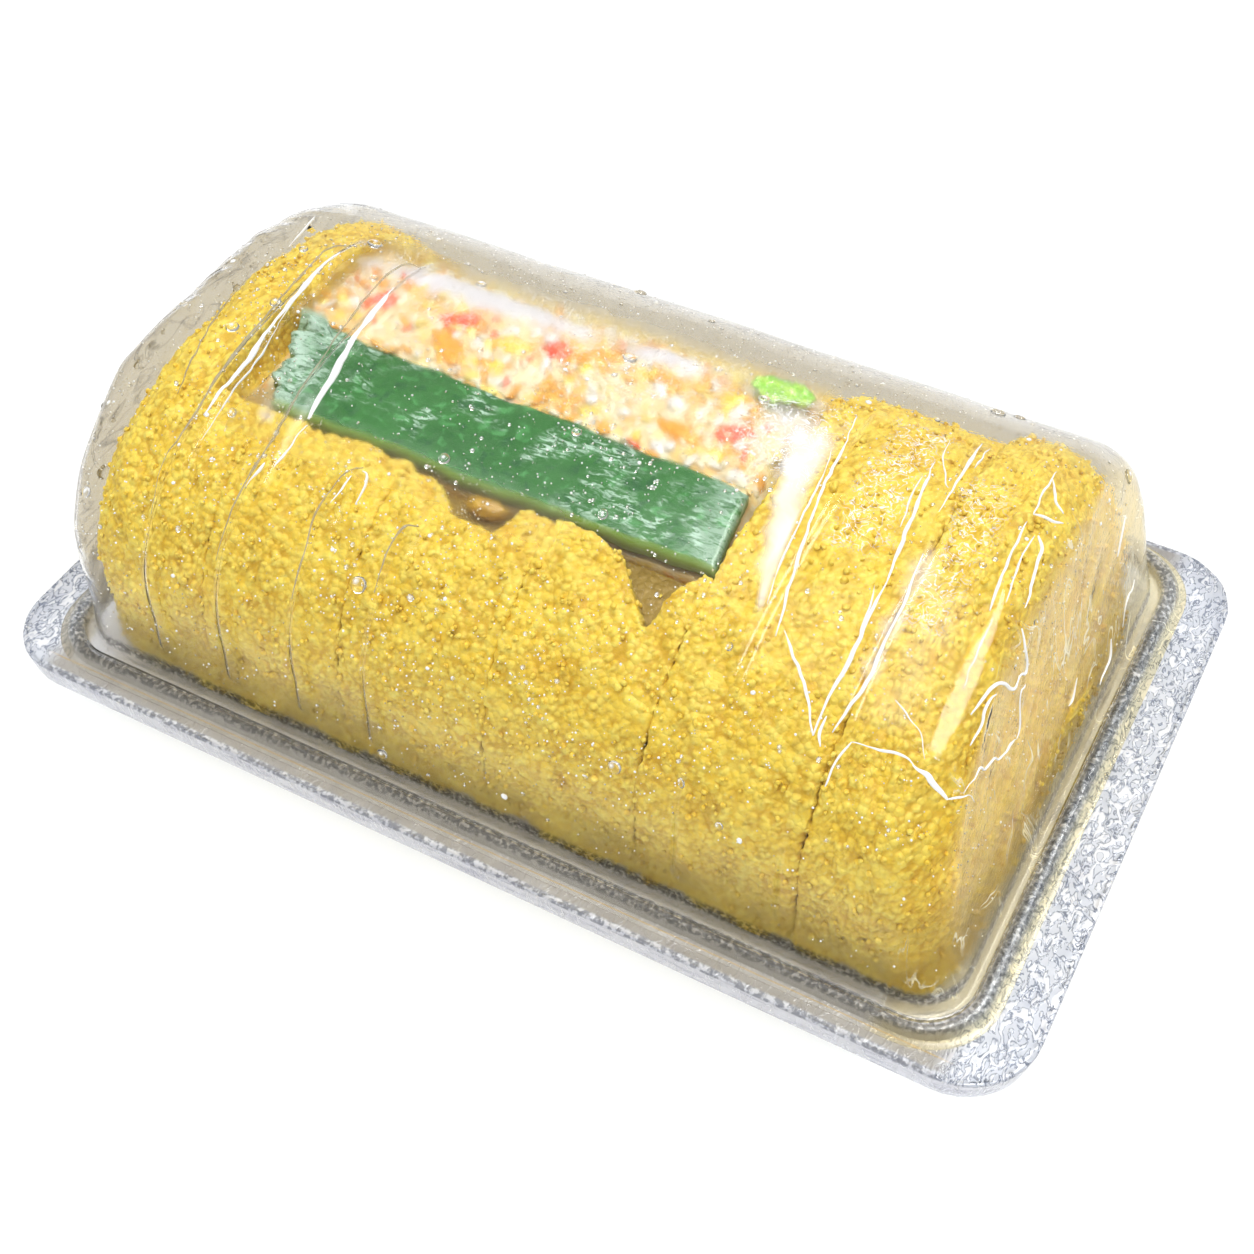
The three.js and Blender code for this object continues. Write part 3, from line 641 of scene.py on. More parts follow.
def dome_half_y(z):
    wall = FOOT_Y - DOME_WALL_LEAN * (min(z, DOME_WALL_TOP) - FOOT_Z)
    t = min(1, max(0, (z - DOME_WALL_TOP) / (DOME_CROWN - DOME_WALL_TOP)))
    return wall * (1 - t**DOME_ARCH_POWER) ** (1 / DOME_ARCH_POWER)


def dome_ring(z):
    t = min(1, max(0, (z - DOME_CROWN + DOME_END_ROUND) / DOME_END_ROUND))
    end_round = DOME_END_ROUND * (1 - math.sqrt(1 - t * t))
    half_y = dome_half_y(z)
    right = FOOT_X - DOME_END_LEAN * max(0, z - FOOT_Z) - end_round
    corner = min(FOOT_CORNER, 0.35 * half_y)
    return rounded_ring(-FOOT_X + end_round, right, half_y, corner, z, LID_STATIONS)


def rib_lift(points):
    """How far the moulded ribs stand out."""
    x, z = points[:, 0], points[:, 2]
    lift = np.zeros(len(points))
    for at, full in RIBS:
        shape = smooth(-2.4, -0.7, x - at) * smooth(3.4, 0.9, x - at)
        low = smooth(14, 18, z) * smooth(27, 21, points[:, 1])
        lift += shape * low * (1 if full else smooth(RIB_SHORT_TOP, RIB_SHORT_TOP - 4, z))
    return RIB_HEIGHT * lift


def film_waves(points):
    """Dents and ripples of the thin film, deepest at its two ends."""
    x, y, z = points.T
    on_dome = smooth(12, 18, z)
    left_end = smooth(-80, -95, x)
    right_end = smooth(68, 90, x)
    broad = 0.28 * noise(points, 22, 31) + 0.12 * noise(points, 9, 32)
    slanted = np.stack([x * 0.7, (y + z) * 0.45, (y - z) * 1.5], 1)
    ripples = 0.3 * noise(slanted, 5, 33) * left_end + 0.14 * noise(slanted, 6.5, 34) * right_end
    step = smooth(42, 36.5, x + 0.1 * y) * smooth(-36, -26, y) * smooth(24, 14, y)
    return on_dome * (broad + ripples + 0.9 * step - 0.3)


def lid_shades(points):
    """White of painted glare and haze, fine squiggles of painted glints, and mist at each point of the lid.
    """
    x, y, z = points.T
    ragged = 1.4 * noise(points, 4, 35) + 0.8 * noise(points, 1.8, 36)
    on_top = smooth(50, 56, z)

    def patch(left, right, front, back, soft=2.5):
        inside = np.minimum(np.minimum(x - left, right - x), np.minimum(y - front, back - y)) + ragged
        return smooth(0, soft, inside) * on_top

    # painted highlight: a white band of glare where the film steps down, left of the rib at 45
    glare_left = np.interp(y, (-31, -19.4, -8.3, 4.8, 14), (44.8, 40.3, 37.2, 33.6, 31.5))
    glare_right = np.interp(y, (-31, -17.7, -7.2, 4.2, 15.6), (46.2, 44.4, 42.8, 41.6, 39.6))
    inside = np.minimum(x - glare_left, glare_right - x)
    glare = smooth(-0.3, 1.2, inside + 0.5 * ragged * smooth(-8, 6, y)) * smooth(17, 9, y + ragged) * on_top
    glare *= smooth(-31.5, -29, y) * (0.84 + 0.3 * noise(points * [1.6, 0.3, 1], 2.2, 39))
    beside = 0.42 * patch(24.5, 41, -1, 18, 7)
    fuzzy = 0.3 * patch(65, 70.5, -36, -4, 2.5) + 0.1 * patch(68.5, 80, -42, -12, 5)
    smear = 0.55 * patch(-63.5, -58.5, -31, -25.5, 1.5)
    # white: the painted glare, with haze patches beside it, at the right and in a smear
    white = np.clip(np.maximum(0.8 * glare, beside) + fuzzy + smear, 0, 0.9)
    # where the painted glint squiggles go
    squiggles = np.maximum.reduce([
        patch(47, 61, -14, 26, 4), 0.9 * patch(66, 77, -24, 18, 4),
        0.8 * patch(20, 42, -4, 24, 5), 0.35 * patch(-70, 20, 2, 30, 5),
    ])
    # Seen slantwise, the film over the strip's back edge lies nearer than the edge itself.
    behind_strip = smooth(-6.2, -4.6, y - strip_back(x))
    over_filling = patch(-74, 36, -14, 32, 3) * behind_strip
    over_gap = patch(-72, 8, -38, -22, 5)
    over_strip = patch(-76, 32, -22, 1, 3)
    low_wall = smooth(30, 15, z) * smooth(0, -30, y)
    mist = np.maximum.reduce([0.72 * over_filling, 0.8 * over_gap, 0.2 * over_strip, 0.5 * low_wall])
    return np.stack([white, np.clip(squiggles, 0, 1), np.clip(mist, 0, 1)], 1)


def build_lid():
    rise = np.sin(np.linspace(math.pi / 2, 0, 53)[:-1]) ** (2 / DOME_ARCH_POWER)
    heights = [*lerp(DOME_WALL_TOP, DOME_CROWN, rise), *np.linspace(DOME_WALL_TOP, FOOT_Z + 0.6, 10)]
    top, r = FLANGE_TOP, BEAD[2]
    cap = top + LID_CAP_HEIGHT
    rim = rounded_off([  # past the bead's half length and half width, corner radius, height
        (FOOT_X - BEAD[0], FOOT_Y - BEAD[1], FOOT_CORNER, FOOT_Z - 0.6),
        (-4.4, -3.9, r - 3, top + 0.75), (-3.2, -2.8, r - 2.6, top + 0.75),
        (-2.9, -2.5, r - 2.2, cap - 0.5), (-2.1, -1.9, r - 1.6, cap), (-0.3, -0.3, r, cap),
        (0.6, 0.5, r + 0.5, cap - 0.6), (1.1, 1, r + 1, top + 1.1), (2.5, 2.4, r + 2.2, top + 0.9),
    ])
    rings = [dome_ring(z) for z in heights]
    rings += [even_ring(BEAD[0] + past_x, BEAD[1] + past_y, corner, z, LID_STATIONS)
              for past_x, past_y, corner, z in rim]
    points, faces, skin = shell(np.array(rings), LID_SKIN, lambda p: rib_lift(p) + film_waves(p))
    painted = lid_shades(skin[0])
    shades = np.concatenate([painted, painted * [0, 0, 1]])
    add_piece("lid_film", (points, faces), lid_material(), ["lid"], shades)
    return skin


# ---- tray

TRAY_STATIONS = np.arange(-86, 86.1, 4)


def hammered(points):
    """The flange's hammered relief, on its flat top only."""
    x, y, z = points.T
    reach = np.maximum(np.abs(x) - BEAD[0], np.abs(y) - BEAD[1])
    room = np.maximum(np.abs(x) - FLANGE[0], np.abs(y) - FLANGE[1])
    flat = smooth(0.4, 1.6, reach) * smooth(-0.3, -1.4, room) * (z > FLANGE_TOP - 0.6)
    pattern = 0.13 * noise(points, 1.7, 41) + 0.1 * noise(points, 3.6, 42)
    return flat * pattern


def build_tray():
    def offset(base, past_x, past_y, past_corner, z):
        return base[0] + past_x, base[1] + past_y, base[2] + past_corner, z

    top, bead_top = FLANGE_TOP, FLANGE_TOP + BEAD_HEIGHT
    flat = [(*(lerp(bead, flange - 0.6, t) for bead, flange in zip(BEAD, FLANGE)), top)
            for t in np.linspace(0.04, 0.98, 12)]
    pan = offset(FLOOR, -6, -6, -5, TRAY_SKIN)
    line = FLOOR[0] - FLOOR[1]
    centre = [(lerp(line, pan[0], t), t * pan[1], t * pan[2], TRAY_SKIN) for t in (0, 0.35, 0.7)]
    profile = rounded_off([
        pan, offset(FLOOR, 0, 0, 0, TRAY_SKIN), offset(FLOOR, 1.9, 1.9, 1, 1.9),
        offset(FLOOR, 6, 5.9, 2, top - 1),
        offset(BEAD, -2.4, -2.2, -2.2, top - 0.9), offset(BEAD, -1.9, -1.8, -1.7, bead_top - 0.3),
        offset(BEAD, -1.4, -1.3, -1.3, bead_top), offset(BEAD, -0.8, -0.8, -0.8, bead_top),
        offset(BEAD, -0.3, -0.3, -0.3, bead_top - 0.4), flat[0],
    ])
    edge = rounded_off([
        flat[-1], offset(FLANGE, -0.1, -0.1, 0, top - 0.1), offset(FLANGE, -0.05, -0.05, 0, top - 0.8),
        offset(FLANGE, -1, -0.8, -0.9, SKIRT_BOTTOM),
    ])
    rings = np.array([even_ring(*row, TRAY_STATIONS) for row in [*centre, *profile, *flat[1:-1], *edge]])
    points, faces, _ = shell(rings, TRAY_SKIN, hammered)
    add_piece("tray_shell", (points, faces), tray_material(), ["tray"])


# ---- crumbed pieces


def even_steps(line, spacing):
    """The line's points at steps of about spacing(point), from its first to its last point."""
    gaps = np.linalg.norm(np.diff(line, axis=0), axis=1)
    weight = gaps / np.array([spacing(p) for p in (line[:-1] + line[1:]) / 2])
    run = np.concatenate([[0], np.cumsum(weight)])
    at = np.linspace(0, run[-1], max(4, int(run[-1]) + 1))
    return np.stack([np.interp(at, run, line[:, axis]) for axis in range(line.shape[1])], 1)


def piece_outline(back, crown):
    """A piece's cross-section from its front foot over the top to its back foot and home below."""
    middle, half = (PIECE_FRONT + back) / 2, (back - PIECE_FRONT) / 2
    turn = np.linspace(0, math.pi, 500)
    c, s = np.cos(turn), np.sin(turn)
    arch_y = middle - half * np.sign(c) * np.abs(c) ** (2 / PIECE_POWER)
    arch_z = lerp(PIECE_WALL_TOP, crown, s ** (2 / PIECE_POWER))
    over = np.concatenate([
        [[PIECE_FRONT + 3.6, PIECE_BASE], [PIECE_FRONT + 1.4, 3.2], [PIECE_FRONT + 0.6, 7.5]],
        np.stack([arch_y, arch_z], 1),
        [[back - 0.6, 7.5], [back - 1.4, 3.2], [back - 3.6, PIECE_BASE]],
    ])

    def spacing(point):
        if point[1] <= HOLLOW_ABOVE:
            return 0.62
        if min(abs(point[0] - HOLLOW["front"]), abs(point[0] - HOLLOW["back"])) < HOLLOW_LIP:
            return 0.28
        return 1.1 if HOLLOW["front"] + 3 < point[0] < HOLLOW["back"] - 3 else 0.62

    top = even_steps(over, spacing)
    below = even_steps(np.array([over[-1], over[0]]), lambda point: 4)[1:-1]
    return np.concatenate([top, below])


def end_scale(inside, radius, depth):
    t = np.clip(1 - inside / radius, 0, 1)
    return 1 - depth * (1 - np.sqrt(1 - t * t))


def lumps(x, y, z):
    """The soft swelling of the crust, from -1 to 1, as in the solids."""
    broad = np.sin(x * 0.23 + 1.3) * np.cos(y * 0.19 + z * 0.21 + 0.4)
    small = np.sin(x * 0.61 + y * 0.37 + 2.1) * np.cos(z * 0.53 - y * 0.42)
    return 0.6 * broad + 0.4 * small


def end_steps(radius):
    """Distances from an end face, closer together where its edge begins to round."""
    return radius * (1 - np.cos(np.linspace(0, math.pi / 2, max(4, int(radius / 0.5)))))


def piece_skin(k):
    """Piece k without its crumbs: a closed mesh, and how far each point lies on the opened top."""
    last = len(ROW_CUTS)
    left = ROW_LEFT if k == 0 else ROW_CUTS[k - 1] + PIECE_GAP / 2
    right = ROW_RIGHT if k == last else ROW_CUTS[k] - PIECE_GAP / 2
    ends = [LEFT_END, *((edge, CUT_DEPTH * edge, CUT_DEPTH * edge) for edge in CUT_EDGE), RIGHT_END]
    (left_edge, left_y, left_z), (right_edge, right_y, right_z) = ends[k:k + 2]
    back, crown = PIECE_BACK[k], PIECE_CROWN[k]
    outline = piece_outline(back, crown)
    middle = (PIECE_FRONT + back) / 2
    between = np.linspace(left + left_edge, right - right_edge, int((right - left) / 0.62))[1:-1]
    xs = np.concatenate([left + end_steps(left_edge), between, (right - end_steps(right_edge))[::-1]])
    x = np.repeat(xs[:, None], len(outline), 1)
    y0, z0 = outline[None, :, 0], outline[None, :, 1]
    scale_y = np.minimum(end_scale(x - left, left_edge, left_y), end_scale(right - x, right_edge, right_y))
    scale_z = np.minimum(end_scale(x - left, left_edge, left_z), end_scale(right - x, right_edge, right_z))
    swell = np.where(z0 > PIECE_BASE, 0.9 * lumps(x + 17 * k, y0, z0), 0)
    slope = np.clip((z0 - PIECE_WALL_TOP) / (crown - PIECE_WALL_TOP), 0, 1)
    keeps = lerp(1, FIRST_BACK[2], smooth(FIRST_BACK[0], FIRST_BACK[1], x)) if k == 0 else 1
    narrowed = np.where(y0 > HOLLOW["back"], HOLLOW["back"] + (y0 - HOLLOW["back"]) * keeps, y0)
    foot = PIECE_BASE + FOOT_RISE[1] * np.maximum(0, np.abs(x) - FOOT_RISE[0])
    out_y = (narrowed - middle) * scale_y
    y = middle + out_y + np.sign(out_y) * swell * (1 - slope)
    z = foot + (z0 - PIECE_BASE) * scale_z + swell * slope * (z0 > PIECE_WALL_TOP)
    opened = np.zeros_like(x)
    if k < OPENED_PIECES:
        seen = np.stack([x, y, 0 * z], -1).reshape(-1, 3)
        ragged = (0.9 * noise(seen, 4, 51) + 0.5 * noise(seen, 1.8, 52)).reshape(x.shape)
        front = np.interp(x, *zip(*HOLLOW_FRONT))
        inside = np.minimum(np.minimum(y - front, HOLLOW["back"] - HOLLOW_LIP - y), x - HOLLOW["left"])
        opened = smooth(-0.7, 1.2, inside + ragged) * (z > HOLLOW_ABOVE)
        z = np.where(z > HOLLOW["floor"], lerp(z, HOLLOW["floor"], opened), z)
    if k == last:
        x = x - DOME_END_LEAN * smooth(left, right, x) * (z - PIECE_BASE)
    rings = np.stack([x, y, z], -1)
    first_hub, last_hub = (np.where([True, False, False], ring, [0, middle, 24]) for ring in rings[[0, -1]])
    inwards = (0.15, 0.35, 0.6, 0.85)
    start = [lerp(rings[0], first_hub, t) for t in inwards[::-1]]
    points, faces = closed_loft(np.array([*start, *rings, *(lerp(rings[-1], last_hub, t) for t in inwards)]))
    cap = np.zeros((len(inwards), len(outline)))
    return points, faces, np.concatenate([np.concatenate([cap, opened, cap]).ravel(), [0, 0]])


def build_crust():
    """The six pieces, each a skin of packed crumbs. Returns their skins and material."""
    material = crust_material()
    skins = []
    for k in range(len(ROW_CUTS) + 1):
        points, faces, opened = piece_skin(k)
        normals = vertex_normals(points, faces)
        near, gap, own = cells(points, CRUMB, 60)
        near_fine, _, _ = cells(points, CRUMB * 0.6, 70)
        dome = np.sqrt(np.clip(1 - (near * (0.95 + 0.35 * own)) ** 2, 0, 1))
        height = 0.75 * dome + 0.22 * (1 - near_fine) + 0.5 * noise(points, 6.5, 61) + 0.5 * (own - 0.5)
        free = smooth(1.3, 3.5, points[:, 2]) * (1 - 0.7 * opened)
        points = points + normals * ((height - 0.45) * free)[:, None]
        # painted shade in the pores, where neighbouring crumbs meet
        pore = smooth(0.26, 0.02, gap) * smooth(0.2, 0.9, noise(points, 3, 62) + 0.75)
        # painted shade: brown in the pits along the opened top's front edge, by the strip
        pit = opened * smooth(-20, -24, points[:, 1]) * smooth(57, 53, points[:, 2])
        shades = np.stack([own, 0.65 * pore, np.maximum(low_tint(points), pit)], 1)
        add_piece(f"crust_{k + 1}", (points, faces), material, [f"roll_{k + 1}"], shades)
        skins.append((points, faces))
    return skins, material


def low_tint(points):
    """How much painted shade darkens the crust: low on the walls, up to a ragged height."""
    height = 18 + 6 * noise(points * [1, 1, 0.4], 16, 63)
    return 0.8 * smooth(height + 12, height - 8, points[:, 2]) * (0.75 + 0.25 * noise(points, 5, 64))


def build_loose_crumbs(skins, material):
    rng = np.random.default_rng(5)

    def wanted(places):
        x, y, z = places.T
        covered = (x < 33) & (x > -83) & (y > -27) & (y < 33) & (z > 45)
        return np.where(covered | (z < 4), 0, 0.55 + 0.45 * noise(places, 9, 65))

    places, normals = (values[:LOOSE_CRUMBS] for values in sampled(joined(*skins), 15000, rng, wanted))
    count = len(places)
    shape = ball(1, 0.25, 3, 66)
    sizes = rng.lognormal(math.log(0.52), 0.24, (count, 1)) * rng.uniform(0.65, 1.25, (count, 3))
    mesh = scattered(shape, places + normals * 0.3, normals, sizes, rng, tilt=0.6)
    own = np.repeat(rng.random(count), len(shape[0]))
    # the loose crumbs take the same painted shade low on the walls
    shades = np.stack([own, np.zeros_like(own), low_tint(mesh[0])], 1)
    add_piece("loose_crumbs", mesh, material, shades=shades)


# ---- filling


def strip_back(x):
    """Where the strip's back edge lies at x."""
    return np.interp(x, (STRIP["left"], STRIP["right"]), STRIP["back"])


def filling_top(x, y):
    """Height of the filling, before its grains."""
    back = smooth(FILLING["back"] + 1, FILLING["back"] - 14, y)
    open_top = lerp(53.2, 57.6, back) + 0.7 * lumps(x * 1.6, y * 1.6, 0 * x)
    under = lerp(STRIP["top_front"], STRIP["top_back"], np.clip((y + 22.4) / 21, 0, 1)) - STRIP["thick"] - 0.7
    return lerp(under, open_top, smooth(-1.5, 0.3, y - strip_back(x)))


def build_filling():
    cols, rows = 150, 84
    u, v = grid(cols, rows)
    x = lerp(FILLING["left"], FILLING["right"], u)
    front, back = FILLING["front"], FILLING["back"] + 1.2
    y = lerp(front - FILLING["tuck"], back, v)
    edge = np.minimum(np.minimum(x - FILLING["left"], FILLING["right"] - x), back - y)
    z = filling_top(x, np.maximum(y, front)) - 3 * smooth(3, 0, edge)
    z -= smooth(front, front - FILLING["tuck"], y) * 1.6
    flat = np.stack([x, y, z], -1).reshape(-1, 3)
    near, gap, own = cells(flat * [1, 1.25, 1], 2.4, 80)
    grain = np.sqrt(np.clip(1 - (near * 1.05) ** 2, 0, 1))
    relief = 0.75 * grain + 0.35 * noise(flat, 5, 81) + 0.12 * noise(flat, 1, 82) - 0.35
    free = smooth(0, 1.5, edge.ravel())
    over = flat + np.stack([0 * relief, 0 * relief, relief * free], 1)
    under = flat.copy()
    under[:, 2] = HOLLOW["floor"] + 0.05
    over[:, 2] = np.maximum(over[:, 2], under[:, 2] + 0.3)
    shape = (cols, rows, 3)
    mesh = grid_slab(over.reshape(shape), under.reshape(shape))
    shade = np.zeros((cols, rows * 2, 3))
    shade[:, :rows, 0] = own.reshape(cols, rows)
    # painted shade between the grains
    shade[:, :rows, 1] = (0.8 * smooth(0.2, 0, gap)).reshape(cols, rows)
    # painted shade where the filling tucks under the strip's front edge
    shade[:, :rows, 2] = 0.9 * smooth(-12, -20, y)
    shades = np.concatenate([shade.reshape(-1, 3), np.zeros((2, 3))])
    add_piece("filling_bed", mesh, filling_material(), ["filling"], shades)
    build_rice(mesh)
    build_shreds(mesh)


def on_top(places, normals):
    """Whether each place is on the filling's open top, behind the strip."""
    x, y, _ = places.T
    return (normals[:, 2] > 0.5) & (y > strip_back(x) + 0.6) & (y < 30.5) & (x > -80) & (x < 30.5)


def build_rice(bed):
    rng = np.random.default_rng(11)
    places, normals = sampled(bed, 4200, rng)
    keep = on_top(places, normals)
    places, normals = places[keep][:RICE_GRAINS], normals[keep][:RICE_GRAINS]
    count = len(places)
    shape = ball(2)
    sizes = np.array([0.66, 1.45, 0.6]) * rng.uniform(0.85, 1.1, (count, 1))
    mesh = scattered(shape, places + normals * 0.18, normals, sizes, rng, tilt=0.22)
    own = np.repeat(rng.random(count), len(shape[0]))
    shades = np.stack([own, 0 * own, 0 * own], 1)
    add_piece("rice_grains", mesh, rice_material(), shades=shades)


SHREDS = {  # small scraps in the filling: their three colours, how many, half sizes, and a slot name
    "carrot_scraps": (
        ((0.97, 0.4, 0.02), (0.98, 0.58, 0.1), (0.9, 0.24, 0.02)), 110, (1.2, 2.2, 0.6), "carrot",
    ),
    "crab_scraps": (
        ((0.93, 0.1, 0.02), (0.96, 0.36, 0.2), (0.8, 0.05, 0.02)), 34, (0.8, 1.6, 0.5), "crab_red",
    ),
    "egg_scraps": (
        ((0.98, 0.72, 0.05), (0.99, 0.86, 0.28), (0.96, 0.56, 0.03)), 70, (1.5, 1.9, 0.6), "egg",
    ),
    "white_scraps": (
        ((0.98, 0.93, 0.84), (0.98, 0.96, 0.92), (0.96, 0.84, 0.66)), 60, (1.5, 2.2, 0.6), "crab_stick",
    ),
}


def build_shreds(bed):
    for salt, (name, (colours, number, half, slot)) in enumerate(SHREDS.items()):
        rng = np.random.default_rng(21 + salt)
        places, normals = sampled(bed, 1600, rng)
        keep = on_top(places, normals)
        clumped = noise(places, 9, 90 + salt) + 0.35 * rng.normal(size=len(places)) > 0.15
        places, normals = places[keep & clumped][:number], normals[keep & clumped][:number]
        sizes = np.array(half) * rng.uniform(0.6, 1.25, (len(places), 3))
        shape = ball(2, 0.3, 2.2, 95 + salt)
        mesh = scattered(shape, places + normals * 0.25, normals, sizes, rng, tilt=0.25)
        add_piece(name, mesh, bit_material(name, *colours))


# ---- bits on the filling

# Each bit's node: its middle on the filling, half sizes, turn, and the finish that it takes.
BITS = {
    "crab_stick_1": ((-45.5, 23.5), (28, 3.3, 2.4), 0.01, "stick"),
    "crab_stick_2": ((-2.5, 24), (8.5, 3, 2.2), 0.05, "stick"),
    "crab_flake_1": ((-63, 12.5), (4.2, 2.4, 1.6), 0.9, "red"),
    "crab_flake_2": ((-44, 14.5), (3.8, 3, 1.7), 0.3, "red"),
    "crab_flake_3": ((-22, 15.5), (3.6, 3, 1.7), -0.4, "red"),
    "crab_flake_4": ((20.6, 10), (4.4, 2.5, 1.7), 0.5, "red"),
    "carrot_1": ((-43, 6.8), (6.2, 2.7, 1.7), -0.7, "carrot"),
    "carrot_2": ((-13.5, 17.5), (5.6, 2.5, 1.7), 0.45, "carrot"),
    "carrot_3": ((10.8, 5.4), (5.2, 2.2, 1.6), -0.2, "carrot"),
    "carrot_4": ((3.5, 17.3), (4.4, 2.2, 1.6), 0.2, "carrot"),
    "egg_1": ((-31.2, 12.5), (4.6, 2.8, 1.7), 0.2, "egg"),
    "egg_2": ((-32, 5.4), (4.2, 2, 1.6), 0.1, "egg"),
    "egg_3": ((16.5, 18.6), (3.2, 2.4, 1.6), 0.6, "egg"),
}
FINISHES = {  # main colour, paler fibres, darker spots, and a slot name
    "stick": ((0.87, 0.83, 0.87), (0.96, 0.95, 0.96), (0.8, 0.22, 0.16), "crab_stick"),
    "red": ((0.94, 0.06, 0.01), (0.97, 0.2, 0.05), (0.8, 0.03, 0.01), "crab_red"),
    "carrot": ((0.98, 0.38, 0.015), (0.98, 0.54, 0.06), (0.92, 0.24, 0.01), "carrot"),
    "egg": ((0.99, 0.64, 0.015), (0.99, 0.8, 0.12), (0.96, 0.48, 0.01), "egg"),
}


def chunk(at, half, turn, salt, rough=0.16):
    """A torn scrap: a ball, stretched, turned, and roughened with fibres along its length."""
    points, faces = ball(5 if max(half) > 7 else 4)
    fibres = noise(points * half * [0.35, 1.6, 1.6] + salt * 7, 1, salt)
    blobs = noise(points * 2.4 + salt * 3, 1, salt + 1)
    grown = points * (1 + rough * blobs + 0.09 * fibres)[:, None] * half
    c, s = math.cos(turn), math.sin(turn)
    turned = grown @ np.array([[c, s, 0], [-s, c, 0], [0, 0, 1]])
    return turned + np.array(at), faces


def build_bits():
    materials = {
        key: bit_material("bit_" + key, *colours[:3], size=1.3 if key == "stick" else 1.8)
        for key, colours in FINISHES.items()
    }
    for salt, (node, ((x, y), half, turn, key)) in enumerate(BITS.items()):
        at = (x, y, float(filling_top(np.array([x]), np.array([y]))[0]))
        mesh = chunk(at, half, turn, 100 + 3 * salt)
        add_piece(node + "_scrap", mesh, materials[key], [node])
    colours = (0.5, 0.27, 0.01), (0.72, 0.44, 0.03), (0.2, 0.09, 0.01)
    amber = bit_material("amber_pickle", *colours, gloss=0.15)
    mesh = chunk((-14.5, -25, 53), (4.3, 2.1, 1.9), 0.1, 200)
    add_piece("pickle_bit", mesh, amber, ["amber_bit"])


def build_leaf():
    half_thick = 0.25
    middle_x, middle_y, height = 24.2, 24, 59.2
    u, v = grid(64, 44)
    wide = np.sin(math.pi * (0.1 + 0.8 * u)) * 4.6 * (1 + 0.1 * np.sin(u * 31))
    x = middle_x + lerp(-6.5, 6.5, u)
    y = middle_y + lerp(-wide, wide, v)
    wave = 0.5 * np.sin(u * 11) * np.cos(v * 7) + 0.4 * np.sin(v * 9)
    ruffle = 0.3 * np.sin(u * 33 + 2 * v) * np.abs(2 * v - 1) ** 2
    z = height - 0.3 * (y - middle_y) + wave + ruffle
    over = np.stack([x, y, z + half_thick], -1)
    under = np.stack([x, y, z - half_thick], -1)
    s = Shader("lettuce")
    veins = s.noise(2.2, detail=4, stretch=(0.4, 1.4, 1), bend=0.8)
    colour = s.mix(s.step(veins, 0.4, 0.66), (0.28, 0.7, 0.01), (0.6, 0.9, 0.1))
    colour = s.spots(colour, (0.85, 0.97, 0.5), 1, 0.62, 0.75, 0.6)
    leaf = s.finish(colour, 0.3, s.bump(veins, 0.2, 0.6))
    add_piece("leaf_scrap", grid_slab(over, under), leaf, ["lettuce_leaf"])


def build_strip():
    along, across = 150, 44
    u, v = grid(along, across)
    ragged = 1.1 * np.sin(v * 17) + 0.8 * np.sin(v * 41 + 1)
    start = STRIP["left"] + STRIP["slant"] * (1 - v) + ragged
    back, front = lerp(*STRIP["back"], u), lerp(*STRIP["front"], u)
    back = back + 0.35 * np.sin(u * 23) + 0.2 * np.sin(u * 61)
    front = front + 0.3 * np.sin(u * 19 + 2) + 0.15 * np.sin(u * 67)
    from_left = u * (STRIP["right"] - STRIP["left"])
    back = back + 2.6 * smooth(9, 4, from_left)  # a torn lobe at the back of the left end
    start = start + 3.2 * smooth(0.1, 0, np.abs(v - 0.8))
    x = lerp(start, STRIP["right"] + 2.2 * (1 - v), u)
    y = lerp(front, back, v)
    crown = STRIP["crown"] * np.sin(math.pi * v) + 0.35 * np.sin(u * 9 + v)
    rim = np.minimum(np.minimum(v, 1 - v) * STRIP["wide"], np.minimum(u, 1 - u) * STRIP["long"])
    rounding = 0.8 * (1 - np.sqrt(1 - np.clip(1 - rim / 1.2, 0, 1) ** 2))
    top = lerp(STRIP["top_front"], STRIP["top_back"], v)
    flat = np.stack([x, y, top], -1).reshape(-1, 3)
    relief = (0.16 * noise(flat * [0.5, 1.2, 1], 5, 121) + 0.05 * noise(flat, 1.2, 122)).reshape(u.shape)
    over = np.stack([x, y, top + crown - rounding + relief], -1)
    under = np.stack([x, y, top - STRIP["thick"] + 0.4 * crown], -1)
    mesh = grid_slab(over, under)
    shade = np.zeros((along, across * 2, 3))
    shade[:, :across, 0] = smooth(1, 0.2, v * STRIP["wide"]) * 0.8
    shade[:, across:, 0] = 0.8
    shade[:, :across, 1] = smooth(14, 1, u * STRIP["long"]) + smooth(10, 2, (1 - u) * STRIP["long"]) * 0.6
    shades = np.clip(np.concatenate([shade.reshape(-1, 3), np.full((2, 3), 0.5)]), 0, 1)
    add_piece("green_strip_skin", mesh, strip_material(), ["green_strip"], shades)


# ---- droplets and creases on the lid

DROPS = (  # detail of the shape, how many, middle radius, its spread and ceiling, and the share painted white all over as a glint
    (0, 5800, 0.17, 0.25, 0.32, 0.5),
    (1, 520, 0.4, 0.28, 0.8, 0.1),
    (2, 46, 1.05, 0.28, 1.7, 0),
)

